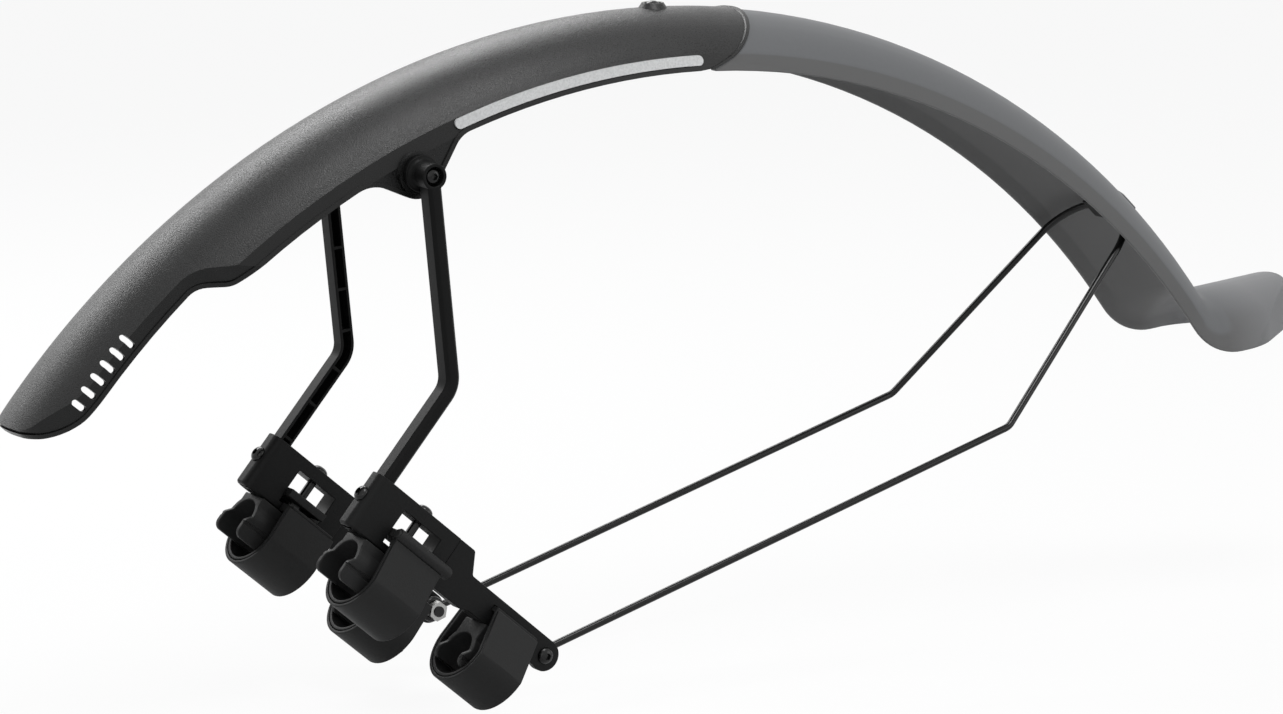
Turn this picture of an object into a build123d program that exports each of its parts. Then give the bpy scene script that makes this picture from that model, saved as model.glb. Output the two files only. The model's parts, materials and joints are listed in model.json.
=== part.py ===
from build123d import *
import math
import os

# Clip-on rear mudguard for a 28-inch bicycle wheel.
# Wheel frame: millimetres, origin at the wheel axle, +X to the rear, +Z up, -Y the near (left) side.
# Angles along the guard are measured from straight up, positive to the rear.
# The left pieces are modelled and the right ones are their mirror image.

# Guard section, shared by the blade and the extension
CROWN_HALF = 34.25          # half width of the crown at its creases
CROWN_RISE = 18.0           # rise of the crown above its creases
SKIRT_DEPTH = 7.0           # radial depth of the side skirts
SKIRT_FLARE = 1.9           # how far each skirt leans outwards
CREASE_RADIUS = 370.0       # crease of the blade from the axle
EDGE_ROOM = 0.2             # plan outlines start this far outside the skirts
TOUCH_GAP = 0.02            # gap between faces that lie against each other

# Front blade
BLADE_WALL = 2.0
BEAD_HEIGHT = 0.7           # raised bead along the rim and the rear edge
BEAD_WIDTH = 2.0
FLATTER_BY = 14.5           # the front stretch has a radius larger by this
FLATTER_FROM = -12.0        # angle where the flatter stretch begins
BLADE_FRONT = -58.0         # angle that the uncut front stretch reaches
BLADE_REAR = 9.0            # angle that the uncut rear stretch reaches
NECK_HALF = 25.9            # half width between the seat stays
NECK_ANGLE = -45.0          # middle of that narrow stretch
NECK_START = 54.0           # corner where the narrowing starts, behind NECK_ANGLE
NECK_END = 38.0             # corner where it ends
NECK_OUTER_BEND = 30.0
NECK_INNER_BEND = 24.0
NECK_TRIM = 12.0            # the plan outline trims the bar up to this far behind NECK_START
NOSE_START = -33.0          # corner where the nose starts to narrow
NOSE_START_BEND = 34.0
NOSE_CORNER = -57.2         # corner at the nose's front
NOSE_CORNER_HALF = 13.8
NOSE_CORNER_BEND = 9.0
NOSE_TIP = -58.2            # foremost point of the nose
NOSE_TIP_BEND = 60.0
JAW_RISE = 3.5              # lower edge of the narrow stretch, outside the crease circle
JOG_LIFT = 22.8             # step in the lower edge, above the middle of the narrow stretch
NOSE_DROP = 35.5            # the nose's lower edge, below the same point
JAW_FRONT_BEND = 26.0
JOG_FRONT_BEND = 13.0
JOG_REAR_BEND = 8.0
REAR_LOW_ANGLE = 1.8        # rear edge in the side view: its start at the rim
REAR_LOW_RISE = -6.0        # distance of that point outside the crease circle
REAR_MID_ANGLE = 5.03       # its middle
REAR_MID_RISE = 6.5
REAR_HIGH_ANGLE = 6.9       # its end above the crown
REAR_HIGH_RISE = 22.2
RIM_END = 0.6               # angle where the rim meets the rear edge
SLOT_COUNT = 6
SLOT_FIRST = -50.3          # angle of the foremost slot
SLOT_STEP = 1.0             # degrees between slots
SLOT_RISE = 10.0            # the slots' middle, outside the crease circle
SLOT_LENGTH = 7.0
SLOT_WIDTH = 2.7
EAR_RADIUS = 11.3           # lobe around the pivot
EAR_WEB_LENGTH = 28.0       # straight sides of the ear, from the lobe up into the skirt
EAR_FRONT_SLOPE = 23.0      # slope of its front side from the horizontal
EAR_REAR_SLOPE = 60.0
EAR_FRONT_BEND = 16.0       # rounding where the front side meets the rim
EAR_REAR_BEND = 12.0
PIVOT_ANGLE = -22.9
PIVOT_DEPTH = 12.88         # pivot inside the crease circle

# Rear extension
EXT_WALL = 1.8
EXT_STEP = 0.5              # the extension lies this far inside the blade's outer face
SLEEVE_GAP = 0.25           # gap between the tucked-in neck and the blade's inner face
EDGE_GAP = 0.6              # gap between the blade's rear edge and the step behind it
STEP_LENGTH = 3.0           # thick band where the neck steps down
NECK_SHORT = 1.2            # the neck's skirts end this far above the rim
NECK_SLOT = 12.0            # length of the neck's slot for the crown screw
NECK_FRONT = -6.0           # angle where the tucked-in neck begins
EXT_BEND_ANGLE = 52.7       # angle where the guard turns outwards
FLAP_BEND_RADIUS = 34.2     # bend radius of the rim where the flap begins
FLAP_RISE = 5.0             # slope of the flap, degrees
FLAP_LENGTH = 51.2
FLAP_SIDE_CORNER = 13.0     # corner where the flap starts to narrow, behind the bend's centre
FLAP_SIDE_BEND = 35.0
FLAP_END_CORNER = 49.0
FLAP_END_HALF = 12.5
FLAP_END_BEND = 14.0
FLAP_TIP_BEND = 30.0
FLAP_TRIM = 5.0             # the uncut flap reaches this far past its tip

# Reflectors
REFLECTOR_FROM = -19.0
REFLECTOR_TO = 0.9
REFLECTOR_TOP = 0.2         # upper edge inside the crease circle
REFLECTOR_HEIGHT = 4.4
REFLECTOR_PROUD = 0.5
REFLECTOR_SUNK = 0.6
REFLECTOR_TRIM = 2.0        # the uncut strip reaches this far past its outline

# Crown screw that clamps the extension
CROWN_SCREW_ANGLE = 0.32
CROWN_SCREW_RADIUS = 2.5
CROWN_HOLE_GAP = 0.1        # radial gap around the screw
CROWN_SCREW_OUT = 1.0       # the screw stands this far out of its nut plate
CROWN_BOSS_RADIUS = 7.0
CROWN_BOSS_TOP_RADIUS = 4.9
CROWN_BOSS_HEIGHT = 2.1
CROWN_HEAD_RADIUS = 3.5
CROWN_HEAD_HEIGHT = 2.0
CROWN_HEAD_SUNK = 1.2       # the head's seat below the boss's top
CROWN_HEAD_GAP = 0.3        # radial gap around the head
PLATE_LENGTH = 14.0
PLATE_WIDTH = 20.0
PLATE_DEPTH = 3.4
PLATE_CORNER = 3.0

# Pivot between blade and arms
PIVOT_SCREW_RADIUS = 2.5
PIVOT_FIT = 0.06            # radial running fit on the pivot screw
PIVOT_RING_RADIUS = 9.6
PIVOT_RING_HEIGHT = 2.3
PIVOT_INNER_BOSS_RADIUS = 6.5
PIVOT_INNER_BOSS_DEPTH = 3.4
INSERT_RADIUS = 3.6
SPACER_RADIUS = 7.9
SPACER_NECK_RADIUS = 5.7
SCREW_CLEARANCE = 0.02      # radial gap around a screw in a piece that it only passes
SPACER_FLANGE = 2.4
SPACER_LENGTH = 4.65        # from the ear's ring to the arm
SPACER_GAP = 0.1            # clearance between spacer and arm

# Arms
ARM_WIDTH = 6.5
ARM_DEPTH = 8.4
ARM_LEAN = -5.6             # the upper run leans forward from straight up, degrees
ARM_HUB_RADIUS = 5.7
ARM_CHANNEL_DEPTH = 5.6
ARM_WALL = 1.4
ARM_RIB = 1.4
ARM_RIB_STEP = 18.8
ARM_UPPER_RIB = 10.1        # first rib above the knee
ARM_LOWER_RIB = 9.3         # first rib below the knee
ARM_BEVEL = 1.4
ARM_KNEE_RADIUS = 12.0
ARM_SOLID_END = 14.0        # solid stretch at the clamped end
HEAD_RADIUS = 3.8
HEAD_CLEARANCE = 0.4        # radial gap around the pivot screw's head, and above it
HEAD_HEIGHT = 2.3
SOCKET_DRIVE_RADIUS = 1.5   # hexagon socket across corners, as a radius
DOME_SHARE = 0.8            # rounding of a head's rim, as a share of the head's height
DRIVE_SHARE = 0.6           # depth of its hexagon socket, likewise

# Bracket, in its own frame: s along the seat stay (rear and down), h away from it, w outwards
STAY_SLOPE = 40.7           # seat stay below the horizontal
ARM_S = -253.8              # centre line of the arm's clamped end
SOCKET_WALL = 2.6
SOCKET_SIDE_WALL = 1.3
SOCKET_FRONT_BEND = 4.2     # rounding of the socket's front corners
SOCKET_LIP = 0.9            # bevel around the socket's lower end
SOCKET_BOTTOM = 20.4
FRAME_TOP = 46.6
FRAME_BAR = 6.0
WINDOW_FROM = -240.5
WINDOW_TO = -217.5
WINDOW_BOTTOM = 24.4
SEAM_S = -207.2
SEAM_LAP = 2.0              # the tail's lug reaches this far into the bracket
SEAM_GAP = 0.1
SLIDE_GAP = 0.1             # gap around the arm in its socket
ARM_END_H = 25.0            # height of the arm's lower end
SET_SCREW_H = 35.5
SET_SCREW_RADIUS = 2.0
SET_SCREW_GAP = 0.05        # gap between the set screw and the arm
SET_HEAD_RADIUS = 3.6
TENSION_S = -229.0
TENSION_SCREW_RADIUS = 2.0
TENSION_HEAD_RADIUS = 3.8
SMALL_HEAD_HEIGHT = 2.4     # heads of the set screw and the tensioning screw
TENSION_CLEARANCE = 0.15    # radial gap around the tensioning screw

# Tail arm
TAIL_TOP = 37.4
TAIL_BOTTOM = 22.6
TAIL_STEP_S = -195.6
TAIL_SLANT = 4.4            # run of the slant between the tail's two heights
TAIL_CORNER_BEND = 1.6
TAIL_WALL = 6.2
EYE_S = -140.4
EYE_H = 30.2
EYE_LOBE = 7.0
EYE_NUT_RADIUS = 4.6        # to the corners
EYE_NUT_HEIGHT = 4.0
EYE_SCREW_OUT = 0.6         # the eye screw stands this far out of its nut
EYE_PLATE = 4.3             # thickness of the eye lobe
EYE_RELIEF = 3.0            # the thinner stretch starts this far ahead of the lobe
SLOT_FROM = -176.8
SLOT_TO = -150.2
SLOT_BOTTOM = 30.6
SLOT_TOP = 33.4
SEAT_TOP_H = 27.8           # top of the lower saddle's seat
SEAT_INBOARD = 4.0          # the seat reaches this far inboard of the seat stay's centre

# Straps and pads around the seat stay
TUBE_OUTBOARD = 3.8         # seat stay's centre outboard of the arm's inner face
PAD_RADIUS = 8.5            # largest seat stay that the saddle pads take, as a radius
PAD_WALL = 2.6
PAD_LOBE = 3.0              # the pads' legs reach this far ahead of their arch
PAD_BEND = 3.8              # rounding of the legs' lower ends
PAD_GROOVE = 1.0            # groove along the legs' outsides
PAD_GROOVE_DROP = 2.4       # upper side of the groove below the seat stay's centre
UPPER_PAD_LEG = 9.6         # the pads' legs reach this far below the seat stay's centre
LOWER_PAD_LEG = 6.8
TUBE_H = 9.3                # seat stay's centre below the bracket
UPPER_LOOP_H = 8.0          # centre of the upper strap's round bottom
UPPER_STRAP_FROM = -240.0
UPPER_STRAP_TO = -212.0
UPPER_STRAP_RADIUS = 17.5
UPPER_PAD_FROM = -256.0
UPPER_PAD_TO = -214.0
LOWER_LOOP_H = 12.2
LOWER_SEAT_H = 24.2         # top of the lower pad
LOWER_STRAP_RADIUS = 18.3
LOWER_PAD_FROM = -186.0
LOWER_PAD_TO = -147.0
STRAP_WALL = 3.4
STRAP_SIDE_GAP = 0.5        # the lower strap in its slot, at each end
STRAP_SLOT_GAP = 0.15       # and above and below
STRAP_BEAD = 2.2            # radius of the bead behind the slot
ROLL_OUTBOARD = 11.4        # roll's centre outboard of the seat stay's
ROLL_H = 30.0
ROLL_RADIUS = 3.0
PIN_RADIUS = 2.2            # pin in the roll
PIN_OUT = 0.9               # the pin stands this far out of the roll's ends
LIP_HEIGHT = 3.0            # raised lip along the strap below the roll
LIP_PROUD = 0.7
HOOK_LEAN = 1.5             # the strap's inboard end leans towards the bracket
HOOK_RISE = 3.0             # and reaches this far above the bracket's underside
STRAP_JOINT = 0.4           # joint between the strap's two layers
STRAP_JOINT_DEPTH = 1.6
TONGUE_HALF = 1.9           # half thickness of the strap's tongue
TONGUE_GAP = 0.6            # side clearance of the tongue in the window
NUT_HEIGHT = 3.2
NUT_RADIUS = 3.9            # to the corners
NUT_GAP = 0.1               # gap between the nut and the tongue
ROLL_TO = -208.6

# Stay wire
WIRE_RADIUS = 1.7
EYE_SIDE_GAP = 0.3          # gap between the wire's eye and the lobe, and between it and the nut
EYE_FIT = 0.06              # radial running fit on the eye screw
BEND_X = 168.9
BEND_Z = 187.3
ARCH_RADIUS = 30.0
WIRE_GAP = 2.0              # gap between the arch's top and the extension's crown
BEND_RADIUS = 9.0
CLIP_ANGLE = 43.2           # angle of the clip that holds the arch
CLIP_LENGTH = 11.0
CLIP_WIDTH = 20.0
CLIP_GAP = 0.3
CLIP_FLOOR = 1.4            # the clip's wall below the wire
CLIP_BUMP = 0.8             # rise of the crown over the clip
CLIP_BUMP_MARGIN = 4.0      # that bump is this much wider than the clip, on each side

# Origin of the part: midway between the two upper saddles, on the seat stays' line
ORIGIN_S = -235.0
ORIGIN_H = TUBE_H


def radial(angle):
    """Unit vector from the axle towards the guard at this angle."""
    return Vector(math.sin(math.radians(angle)), 0, math.cos(math.radians(angle)))


def rearward(angle):
    """Unit vector along the guard, towards the rear, at this angle."""
    return Vector(math.cos(math.radians(angle)), 0, -math.sin(math.radians(angle)))


def radial_plane(angle, centre=Vector(0, 0, 0)):
    """Plane across the guard: local x is Y, local y is the distance from the axle."""
    return Plane(origin=centre, x_dir=(0, 1, 0), z_dir=rearward(angle))


ALONG_STAY = rearward(STAY_SLOPE)
OFF_STAY = Vector(math.sin(math.radians(STAY_SLOPE)), 0, math.cos(math.radians(STAY_SLOPE)))
BRACKET = Plane(origin=(0, 0, 0), x_dir=ALONG_STAY, z_dir=(0, -1, 0))
SIDE = Plane.XZ
WIDE = 80.0                 # reach of cutting tools past the part
DEEP = 32.0                 # depth of the blade's uncut sides below its rim
FRONT_CENTRE = radial(FLATTER_FROM) * -FLATTER_BY
CROWN_TOP = CREASE_RADIUS + CROWN_RISE
RIM_RADIUS = CREASE_RADIUS - SKIRT_DEPTH
SKIRT_OUTER = CROWN_HALF + SKIRT_FLARE
PIVOT_RING_FACE = SKIRT_OUTER + PIVOT_RING_HEIGHT
PIVOT_X = radial(PIVOT_ANGLE).X * (CREASE_RADIUS - PIVOT_DEPTH)
PIVOT_Z = radial(PIVOT_ANGLE).Z * (CREASE_RADIUS - PIVOT_DEPTH)
ARM_INNER = PIVOT_RING_FACE + SPACER_LENGTH + SPACER_GAP
ARM_OUTER = ARM_INNER + ARM_DEPTH
TUBE_W = ARM_INNER + TUBE_OUTBOARD
FRAME_INNER = ARM_INNER - SOCKET_SIDE_WALL
FRAME_OUTER = ARM_OUTER + SOCKET_SIDE_WALL
TENSION_W = (FRAME_INNER + FRAME_OUTER) / 2
TAIL_OUTER = FRAME_OUTER
TAIL_INNER = TAIL_OUTER - TAIL_WALL
EYE_PLATE_INNER = TAIL_OUTER - EYE_PLATE
ROLL_W = TUBE_W + ROLL_OUTBOARD
WIRE_Y = EYE_PLATE_INNER - EYE_SIDE_GAP - WIRE_RADIUS
EYE_RING_RADIUS = PIVOT_SCREW_RADIUS + EYE_FIT + WIRE_RADIUS
ARCH_TOP_RADIUS = CROWN_TOP - EXT_STEP - EXT_WALL - WIRE_GAP - WIRE_RADIUS
NECK_INSET = -(BLADE_WALL + SLEEVE_GAP)
NECK_INNER = CROWN_TOP - EXT_STEP + NECK_INSET - EXT_WALL


def side_point(reach, angle):
    """Point of the side view, in local (X, Z), at this distance from the axle and this angle."""
    point = radial(angle) * reach
    return (point.X, point.Z)


def bracket_point(s, h, w):
    """Point of the bracket frame in the wheel frame."""
    return ALONG_STAY * s + OFF_STAY * h + Vector(0, -w, 0)


def bracket_box(s_from, s_to, h_from, h_to, w_from, w_to):
    """Box with its edges along the bracket frame."""
    middle = Pos((s_from + s_to) / 2, (h_from + h_to) / 2, (w_from + w_to) / 2)
    return BRACKET * middle * Box(s_to - s_from, h_to - h_from, w_to - w_from)


def bracket_rod(s, h, w_from, w_to, radius):
    """Round bar across the bracket, from w_from to w_to."""
    return BRACKET * Pos(s, h, (w_from + w_to) / 2) * Cylinder(radius, w_to - w_from)


def across_stay(s):
    """Plane across the seat stay at s: local x is w, local y is h, its normal points back along s."""
    return Plane(origin=ALONG_STAY * s, x_dir=(0, -1, 0), z_dir=ALONG_STAY * -1)


def button_head(plane, drive=SOCKET_DRIVE_RADIUS, radius=HEAD_RADIUS, height=HEAD_HEIGHT):
    """Domed screw head standing on a plane, with a hexagon socket."""
    dome = plane * Pos(0, 0, height / 2) * Cylinder(radius, height)
    dome = fillet(dome.edges().group_by(Axis(plane.origin, plane.z_dir))[-1], height * DOME_SHARE)
    drive_depth = height * DRIVE_SHARE
    hexagon = extrude(plane * Pos(0, 0, height - drive_depth) * RegularPolygon(drive, 6), drive_depth)
    return dome - hexagon


def guard_section(crease, below, grow=0.0):
    """Closed section from the crown to a depth below the rim, in local (Y, radius)."""
    half, top = CROWN_HALF, crease + CROWN_RISE
    outer = half + SKIRT_FLARE
    rim = crease - SKIRT_DEPTH
    outline = ThreePointArc((-half, crease), (0, top), (half, crease))
    corners = [(half, crease), (outer, rim), (-outer, rim), (-half, crease)]
    if below:
        corners[2:2] = [(outer, rim - below), (-outer, rim - below)]
    outline += Polyline(*corners)
    face = make_face(outline)
    return offset(face, grow, kind=Kind.INTERSECTION) if grow else face


def rounded_outline(corners):
    """Face of straight runs with rounded corners; each corner is (x, y, radius)."""
    face = make_face(Polyline(*[(x, y) for x, y, radius in corners], close=True))
    for x, y, radius in corners:
        if radius:
            corner = face.vertices().sort_by_distance(Vector(x, y))[0]
            face = fillet(corner, radius)
    return face


def mirrored_corners(corners, rear):
    """Corners of a plan outline that is the same on both sides, closed by a straight edge at rear."""
    left = [(x, y, radius) for x, y, radius in corners if y]
    middle = [(x, y, radius) for x, y, radius in corners if not y]
    right = [(x, -y, radius) for x, y, radius in reversed(left)]
    side = left[0][1]
    return [(rear, side, 0)] + left + middle + right + [(rear, -side, 0)]


def blade_bar(grow):
    """The blade's bar with solid inside, grown outwards by grow or shrunk where it is negative."""
    section = guard_section(CREASE_RADIUS, DEEP + 4 * abs(grow), grow)
    face = radial_plane(FLATTER_FROM) * section
    rear = revolve(face, Axis((0, 0, 0), (0, 1, 0)), BLADE_REAR - FLATTER_FROM)
    front = revolve(face, Axis(FRONT_CENTRE, (0, -1, 0)), FLATTER_FROM - BLADE_FRONT)
    plan = Plane(origin=radial(NECK_ANGLE) * CREASE_RADIUS, x_dir=rearward(NECK_ANGLE),
                 z_dir=radial(NECK_ANGLE))
    wide = SKIRT_OUTER + EDGE_ROOM
    corners = [(NECK_START, wide, NECK_OUTER_BEND), (NECK_END, NECK_HALF, NECK_INNER_BEND),
               (NOSE_START, NECK_HALF, NOSE_START_BEND), (NOSE_CORNER, NOSE_CORNER_HALF, NOSE_CORNER_BEND),
               (NOSE_TIP, 0, NOSE_TIP_BEND)]
    outline = rounded_outline(mirrored_corners(corners, NECK_START + WIDE))
    if grow:
        outline = offset(outline, grow)
    keep = extrude(plan * outline, WIDE, both=True)
    length = NECK_START - NOSE_TIP + WIDE
    ahead = plan * Pos(NECK_START + NECK_TRIM - length / 2, 0, 0) * Box(length, 2 * WIDE, 2 * WIDE)
    return (rear + front) - (ahead - keep)


def rim_point(angle, inset=0.0):
    """Point of the blade's rim in the side view, at this angle from the centre of its own arc."""
    if angle >= FLATTER_FROM:
        return side_point(RIM_RADIUS + inset, angle)
    x, z = side_point(RIM_RADIUS + FLATTER_BY + inset, angle)
    return (FRONT_CENTRE.X + x, FRONT_CENTRE.Z + z)


def rear_spots(shift):
    """Start, middle and end of the blade's rear edge in the side view, moved to the rear by shift."""
    spots = [side_point(CREASE_RADIUS + rise, angle) for rise, angle in (
        (REAR_LOW_RISE, REAR_LOW_ANGLE), (REAR_MID_RISE, REAR_MID_ANGLE), (REAR_HIGH_RISE, REAR_HIGH_ANGLE))]
    return [(x + shift, z) for x, z in spots]


def blade_side(inset=0.0):
    """Side view of the blade: rim, ear, jog, nose and rear edge, drawn inside by inset, in local (X, Z)."""
    far = CROWN_TOP + DEEP
    reach = RIM_RADIUS + FLATTER_BY + inset
    jaw = CREASE_RADIUS + JAW_RISE + inset
    neck_z = side_point(CREASE_RADIUS + JAW_RISE, NECK_ANGLE)[1]
    jog_z, nose_z = neck_z + JOG_LIFT + inset, neck_z - NOSE_DROP + inset
    far_front = (-math.sqrt(far ** 2 - nose_z ** 2), nose_z)
    jog_rear = (FRONT_CENTRE.X - math.sqrt(reach ** 2 - (jog_z - FRONT_CENTRE.Z) ** 2), jog_z)
    jog_front = (-math.sqrt(jaw ** 2 - jog_z ** 2), jog_z)
    jaw_front = (-math.sqrt(jaw ** 2 - nose_z ** 2), nose_z)
    rear_low, rear_mid, rear_high = rear_spots(-inset)
    outline = ThreePointArc(rear_low, rear_mid, rear_high)
    outline += Line(rear_high, side_point(far, BLADE_REAR))
    outline += ThreePointArc(side_point(far, BLADE_REAR), side_point(far, BLADE_FRONT / 2), far_front)
    outline += Line(far_front, jaw_front)
    outline += ThreePointArc(jaw_front, side_point(jaw, NECK_ANGLE), jog_front)
    outline += Line(jog_front, jog_rear)
    outline += ThreePointArc(jog_rear, rim_point(NECK_ANGLE / 2, inset), rim_point(FLATTER_FROM, inset))
    outline += ThreePointArc(rim_point(FLATTER_FROM, inset), rim_point(FLATTER_FROM / 2, inset),
                             rim_point(RIM_END, inset))
    outline += Line(rim_point(RIM_END, inset), rear_low)
    ear = EAR_RADIUS - inset
    face = make_face(outline) + Pos(PIVOT_X, PIVOT_Z) * Rot(0, 0, 110) * Circle(ear)
    for side, slope, bend in ((-1, EAR_FRONT_SLOPE, EAR_FRONT_BEND), (1, EAR_REAR_SLOPE, EAR_REAR_BEND)):
        out = Vector(side * math.cos(math.radians(slope)), math.sin(math.radians(slope)))
        foot = Vector(PIVOT_X, PIVOT_Z) + Vector(out.Y * side, -out.X * side) * ear
        end = foot + out * EAR_WEB_LENGTH
        face += make_face(Polyline((PIVOT_X, PIVOT_Z), foot, end, rim_point(PIVOT_ANGLE, SKIRT_DEPTH), close=True))
        root = face.vertices().sort_by_distance(foot + out * (EAR_WEB_LENGTH * 0.75))[0]
        face = fillet(root, bend + inset)
    for spot, radius in ((jaw_front, JAW_FRONT_BEND - inset), (jog_front, JOG_FRONT_BEND + inset),
                         (jog_rear, JOG_REAR_BEND - inset)):
        face = fillet(face.vertices().sort_by_distance(Vector(*spot))[0], radius)
    return face


def front_blade():
    """Moulded crown and skirts, with ears, bosses, slots and a bead along its edges."""
    side = SIDE * blade_side()
    region = extrude(side, WIDE, both=True)
    core = extrude(SIDE * blade_side(BEAD_WIDTH), WIDE, both=True)
    hollow = blade_bar(-BLADE_WALL)
    bead = (blade_bar(BEAD_HEIGHT) & region) - core
    body = (blade_bar(0.0) & region) + bead
    pivot = Vector(PIVOT_X, 0, PIVOT_Z)
    for sign in (-1, 1):
        ring = Plane(origin=pivot, x_dir=(1, 0, 0), z_dir=(0, sign, 0))
        depth = SKIRT_OUTER - BLADE_WALL
        body += ring * Pos(0, 0, (depth + PIVOT_RING_FACE) / 2) * Cylinder(
            PIVOT_RING_RADIUS, PIVOT_RING_FACE - depth)
    boss_base = radial(CROWN_SCREW_ANGLE) * (CROWN_TOP - BLADE_WALL / 2)
    boss_plane = Plane(origin=boss_base, x_dir=rearward(CROWN_SCREW_ANGLE), z_dir=radial(CROWN_SCREW_ANGLE))
    boss_height = CROWN_BOSS_HEIGHT + BLADE_WALL / 2
    cone = Cone(CROWN_BOSS_RADIUS, CROWN_BOSS_TOP_RADIUS, boss_height)
    body += boss_plane * Pos(0, 0, boss_height / 2) * cone
    body -= hollow
    for sign in (-1, 1):
        ring = Plane(origin=pivot, x_dir=(1, 0, 0), z_dir=(0, sign, 0))
        inner_face = SKIRT_OUTER - BLADE_WALL - PIVOT_INNER_BOSS_DEPTH
        body += ring * Pos(0, 0, (inner_face + SKIRT_OUTER) / 2) * Cylinder(
            PIVOT_INNER_BOSS_RADIUS, SKIRT_OUTER - inner_face)
        body -= ring * Pos(0, 0, SKIRT_OUTER) * Cylinder(INSERT_RADIUS, WIDE / 2)
        for index in range(SLOT_COUNT):
            angle = SLOT_FIRST + index * SLOT_STEP
            place = Plane(origin=radial(angle) * (CREASE_RADIUS + SLOT_RISE), x_dir=radial(angle),
                          z_dir=(0, sign, 0))
            body -= extrude(place * SlotOverall(SLOT_LENGTH, SLOT_WIDTH), WIDE)
        body -= reflector_block(sign)
    body -= boss_plane * Cylinder(CROWN_SCREW_RADIUS + CROWN_HOLE_GAP, WIDE / 2)
    counterbore = Cylinder(CROWN_HEAD_RADIUS + CROWN_HEAD_GAP, 2 * CROWN_HEAD_SUNK)
    return body - boss_plane * Pos(0, 0, boss_height) * counterbore


def reflector_block(sign):
    """Strip sunk into one skirt's outside, with round ends; the same form cuts its recess."""
    middle = (REFLECTOR_FROM + REFLECTOR_TO) / 2
    upper = CREASE_RADIUS - REFLECTOR_TOP
    lower = upper - REFLECTOR_HEIGHT
    end_radius = REFLECTOR_HEIGHT / 2
    inset = math.degrees(end_radius / CREASE_RADIUS)
    start, stop = REFLECTOR_FROM + inset, REFLECTOR_TO - inset
    centre = (upper + lower) / 2
    corners = [(upper, start), (upper, middle), (upper, stop), (centre, REFLECTOR_TO), (lower, stop),
               (lower, middle), (lower, start), (centre, REFLECTOR_FROM), (upper, start)]
    spots = [side_point(radius, angle) for radius, angle in corners]
    outline = ThreePointArc(*spots[0:3])
    for first in (2, 4, 6):
        outline += ThreePointArc(*spots[first:first + 3])
    band = extrude(SIDE * make_face(outline), -sign * WIDE)
    inner, outer = CROWN_HALF - REFLECTOR_SUNK, CROWN_HALF + REFLECTOR_PROUD
    top, bottom = upper + REFLECTOR_TRIM, lower - REFLECTOR_TRIM
    slant = (top - bottom) * SKIRT_FLARE / SKIRT_DEPTH
    profile = Polyline((inner, top), (outer, top), (outer + slant, bottom), (inner + slant, bottom), close=True)
    face = radial_plane(REFLECTOR_FROM - REFLECTOR_TRIM) * make_face(profile)
    turn = REFLECTOR_TO - REFLECTOR_FROM + 2 * REFLECTOR_TRIM
    skin = revolve(face, Axis((0, 0, 0), (0, 1, 0)), turn)
    if sign < 0:
        skin = mirror(skin, about=Plane.XZ)
    return skin & band


def extension_bar(grow, below, stop=None):
    """The extension's bar with solid inside: guard arc, outward bend and flap, or the arc up to stop."""
    crease = CREASE_RADIUS - EXT_STEP
    section = guard_section(crease, below, grow)
    start = radial_plane(NECK_FRONT) * section
    if stop is not None:
        return revolve(start, Axis((0, 0, 0), (0, 1, 0)), stop - NECK_FRONT)
    arc = revolve(start, Axis((0, 0, 0), (0, 1, 0)), EXT_BEND_ANGLE - NECK_FRONT)
    end = radial_plane(EXT_BEND_ANGLE) * section
    bend_centre = radial(EXT_BEND_ANGLE) * (crease - SKIRT_DEPTH + FLAP_BEND_RADIUS)
    bend = revolve(end, Axis(bend_centre, (0, -1, 0)), EXT_BEND_ANGLE + FLAP_RISE)
    flap_out = rearward(-FLAP_RISE)
    flap_up = radial(-FLAP_RISE)
    foot = bend_centre - flap_up * (crease - SKIRT_DEPTH + FLAP_BEND_RADIUS)
    straight = extrude(Plane(origin=foot, x_dir=(0, 1, 0), z_dir=flap_out) * section, FLAP_LENGTH + FLAP_TRIM)
    plan = Plane(origin=bend_centre, x_dir=flap_out, z_dir=flap_up)
    wide = SKIRT_OUTER + EDGE_ROOM
    corners = [(FLAP_SIDE_CORNER, wide, FLAP_SIDE_BEND), (FLAP_END_CORNER, FLAP_END_HALF, FLAP_END_BEND),
               (FLAP_LENGTH, 0, FLAP_TIP_BEND)]
    outline = rounded_outline(mirrored_corners(corners, -WIDE))
    if grow:
        outline = offset(outline, grow)
    keep = extrude(plan * outline, 2 * WIDE, both=True)
    reach = FLAP_LENGTH + WIDE
    behind = plan * Pos(reach / 2 - FLAP_TRIM, 0, 0) * Box(reach, 2 * WIDE, 2 * WIDE)
    flap = (bend + straight) - (behind - keep)
    return arc + flap


def ahead_of_edge(shift):
    """All that lies ahead of the blade's rear edge when that edge is moved to the rear by shift."""
    low, middle, high = rear_spots(shift)
    outline = ThreePointArc(low, middle, high)
    top, bottom = CROWN_TOP + DEEP, RIM_RADIUS - DEEP
    outline += Polyline(high, (high[0], top), (-WIDE, top), (-WIDE, bottom), (low[0], bottom), low)
    return extrude(SIDE * make_face(outline), WIDE, both=True)


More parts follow.
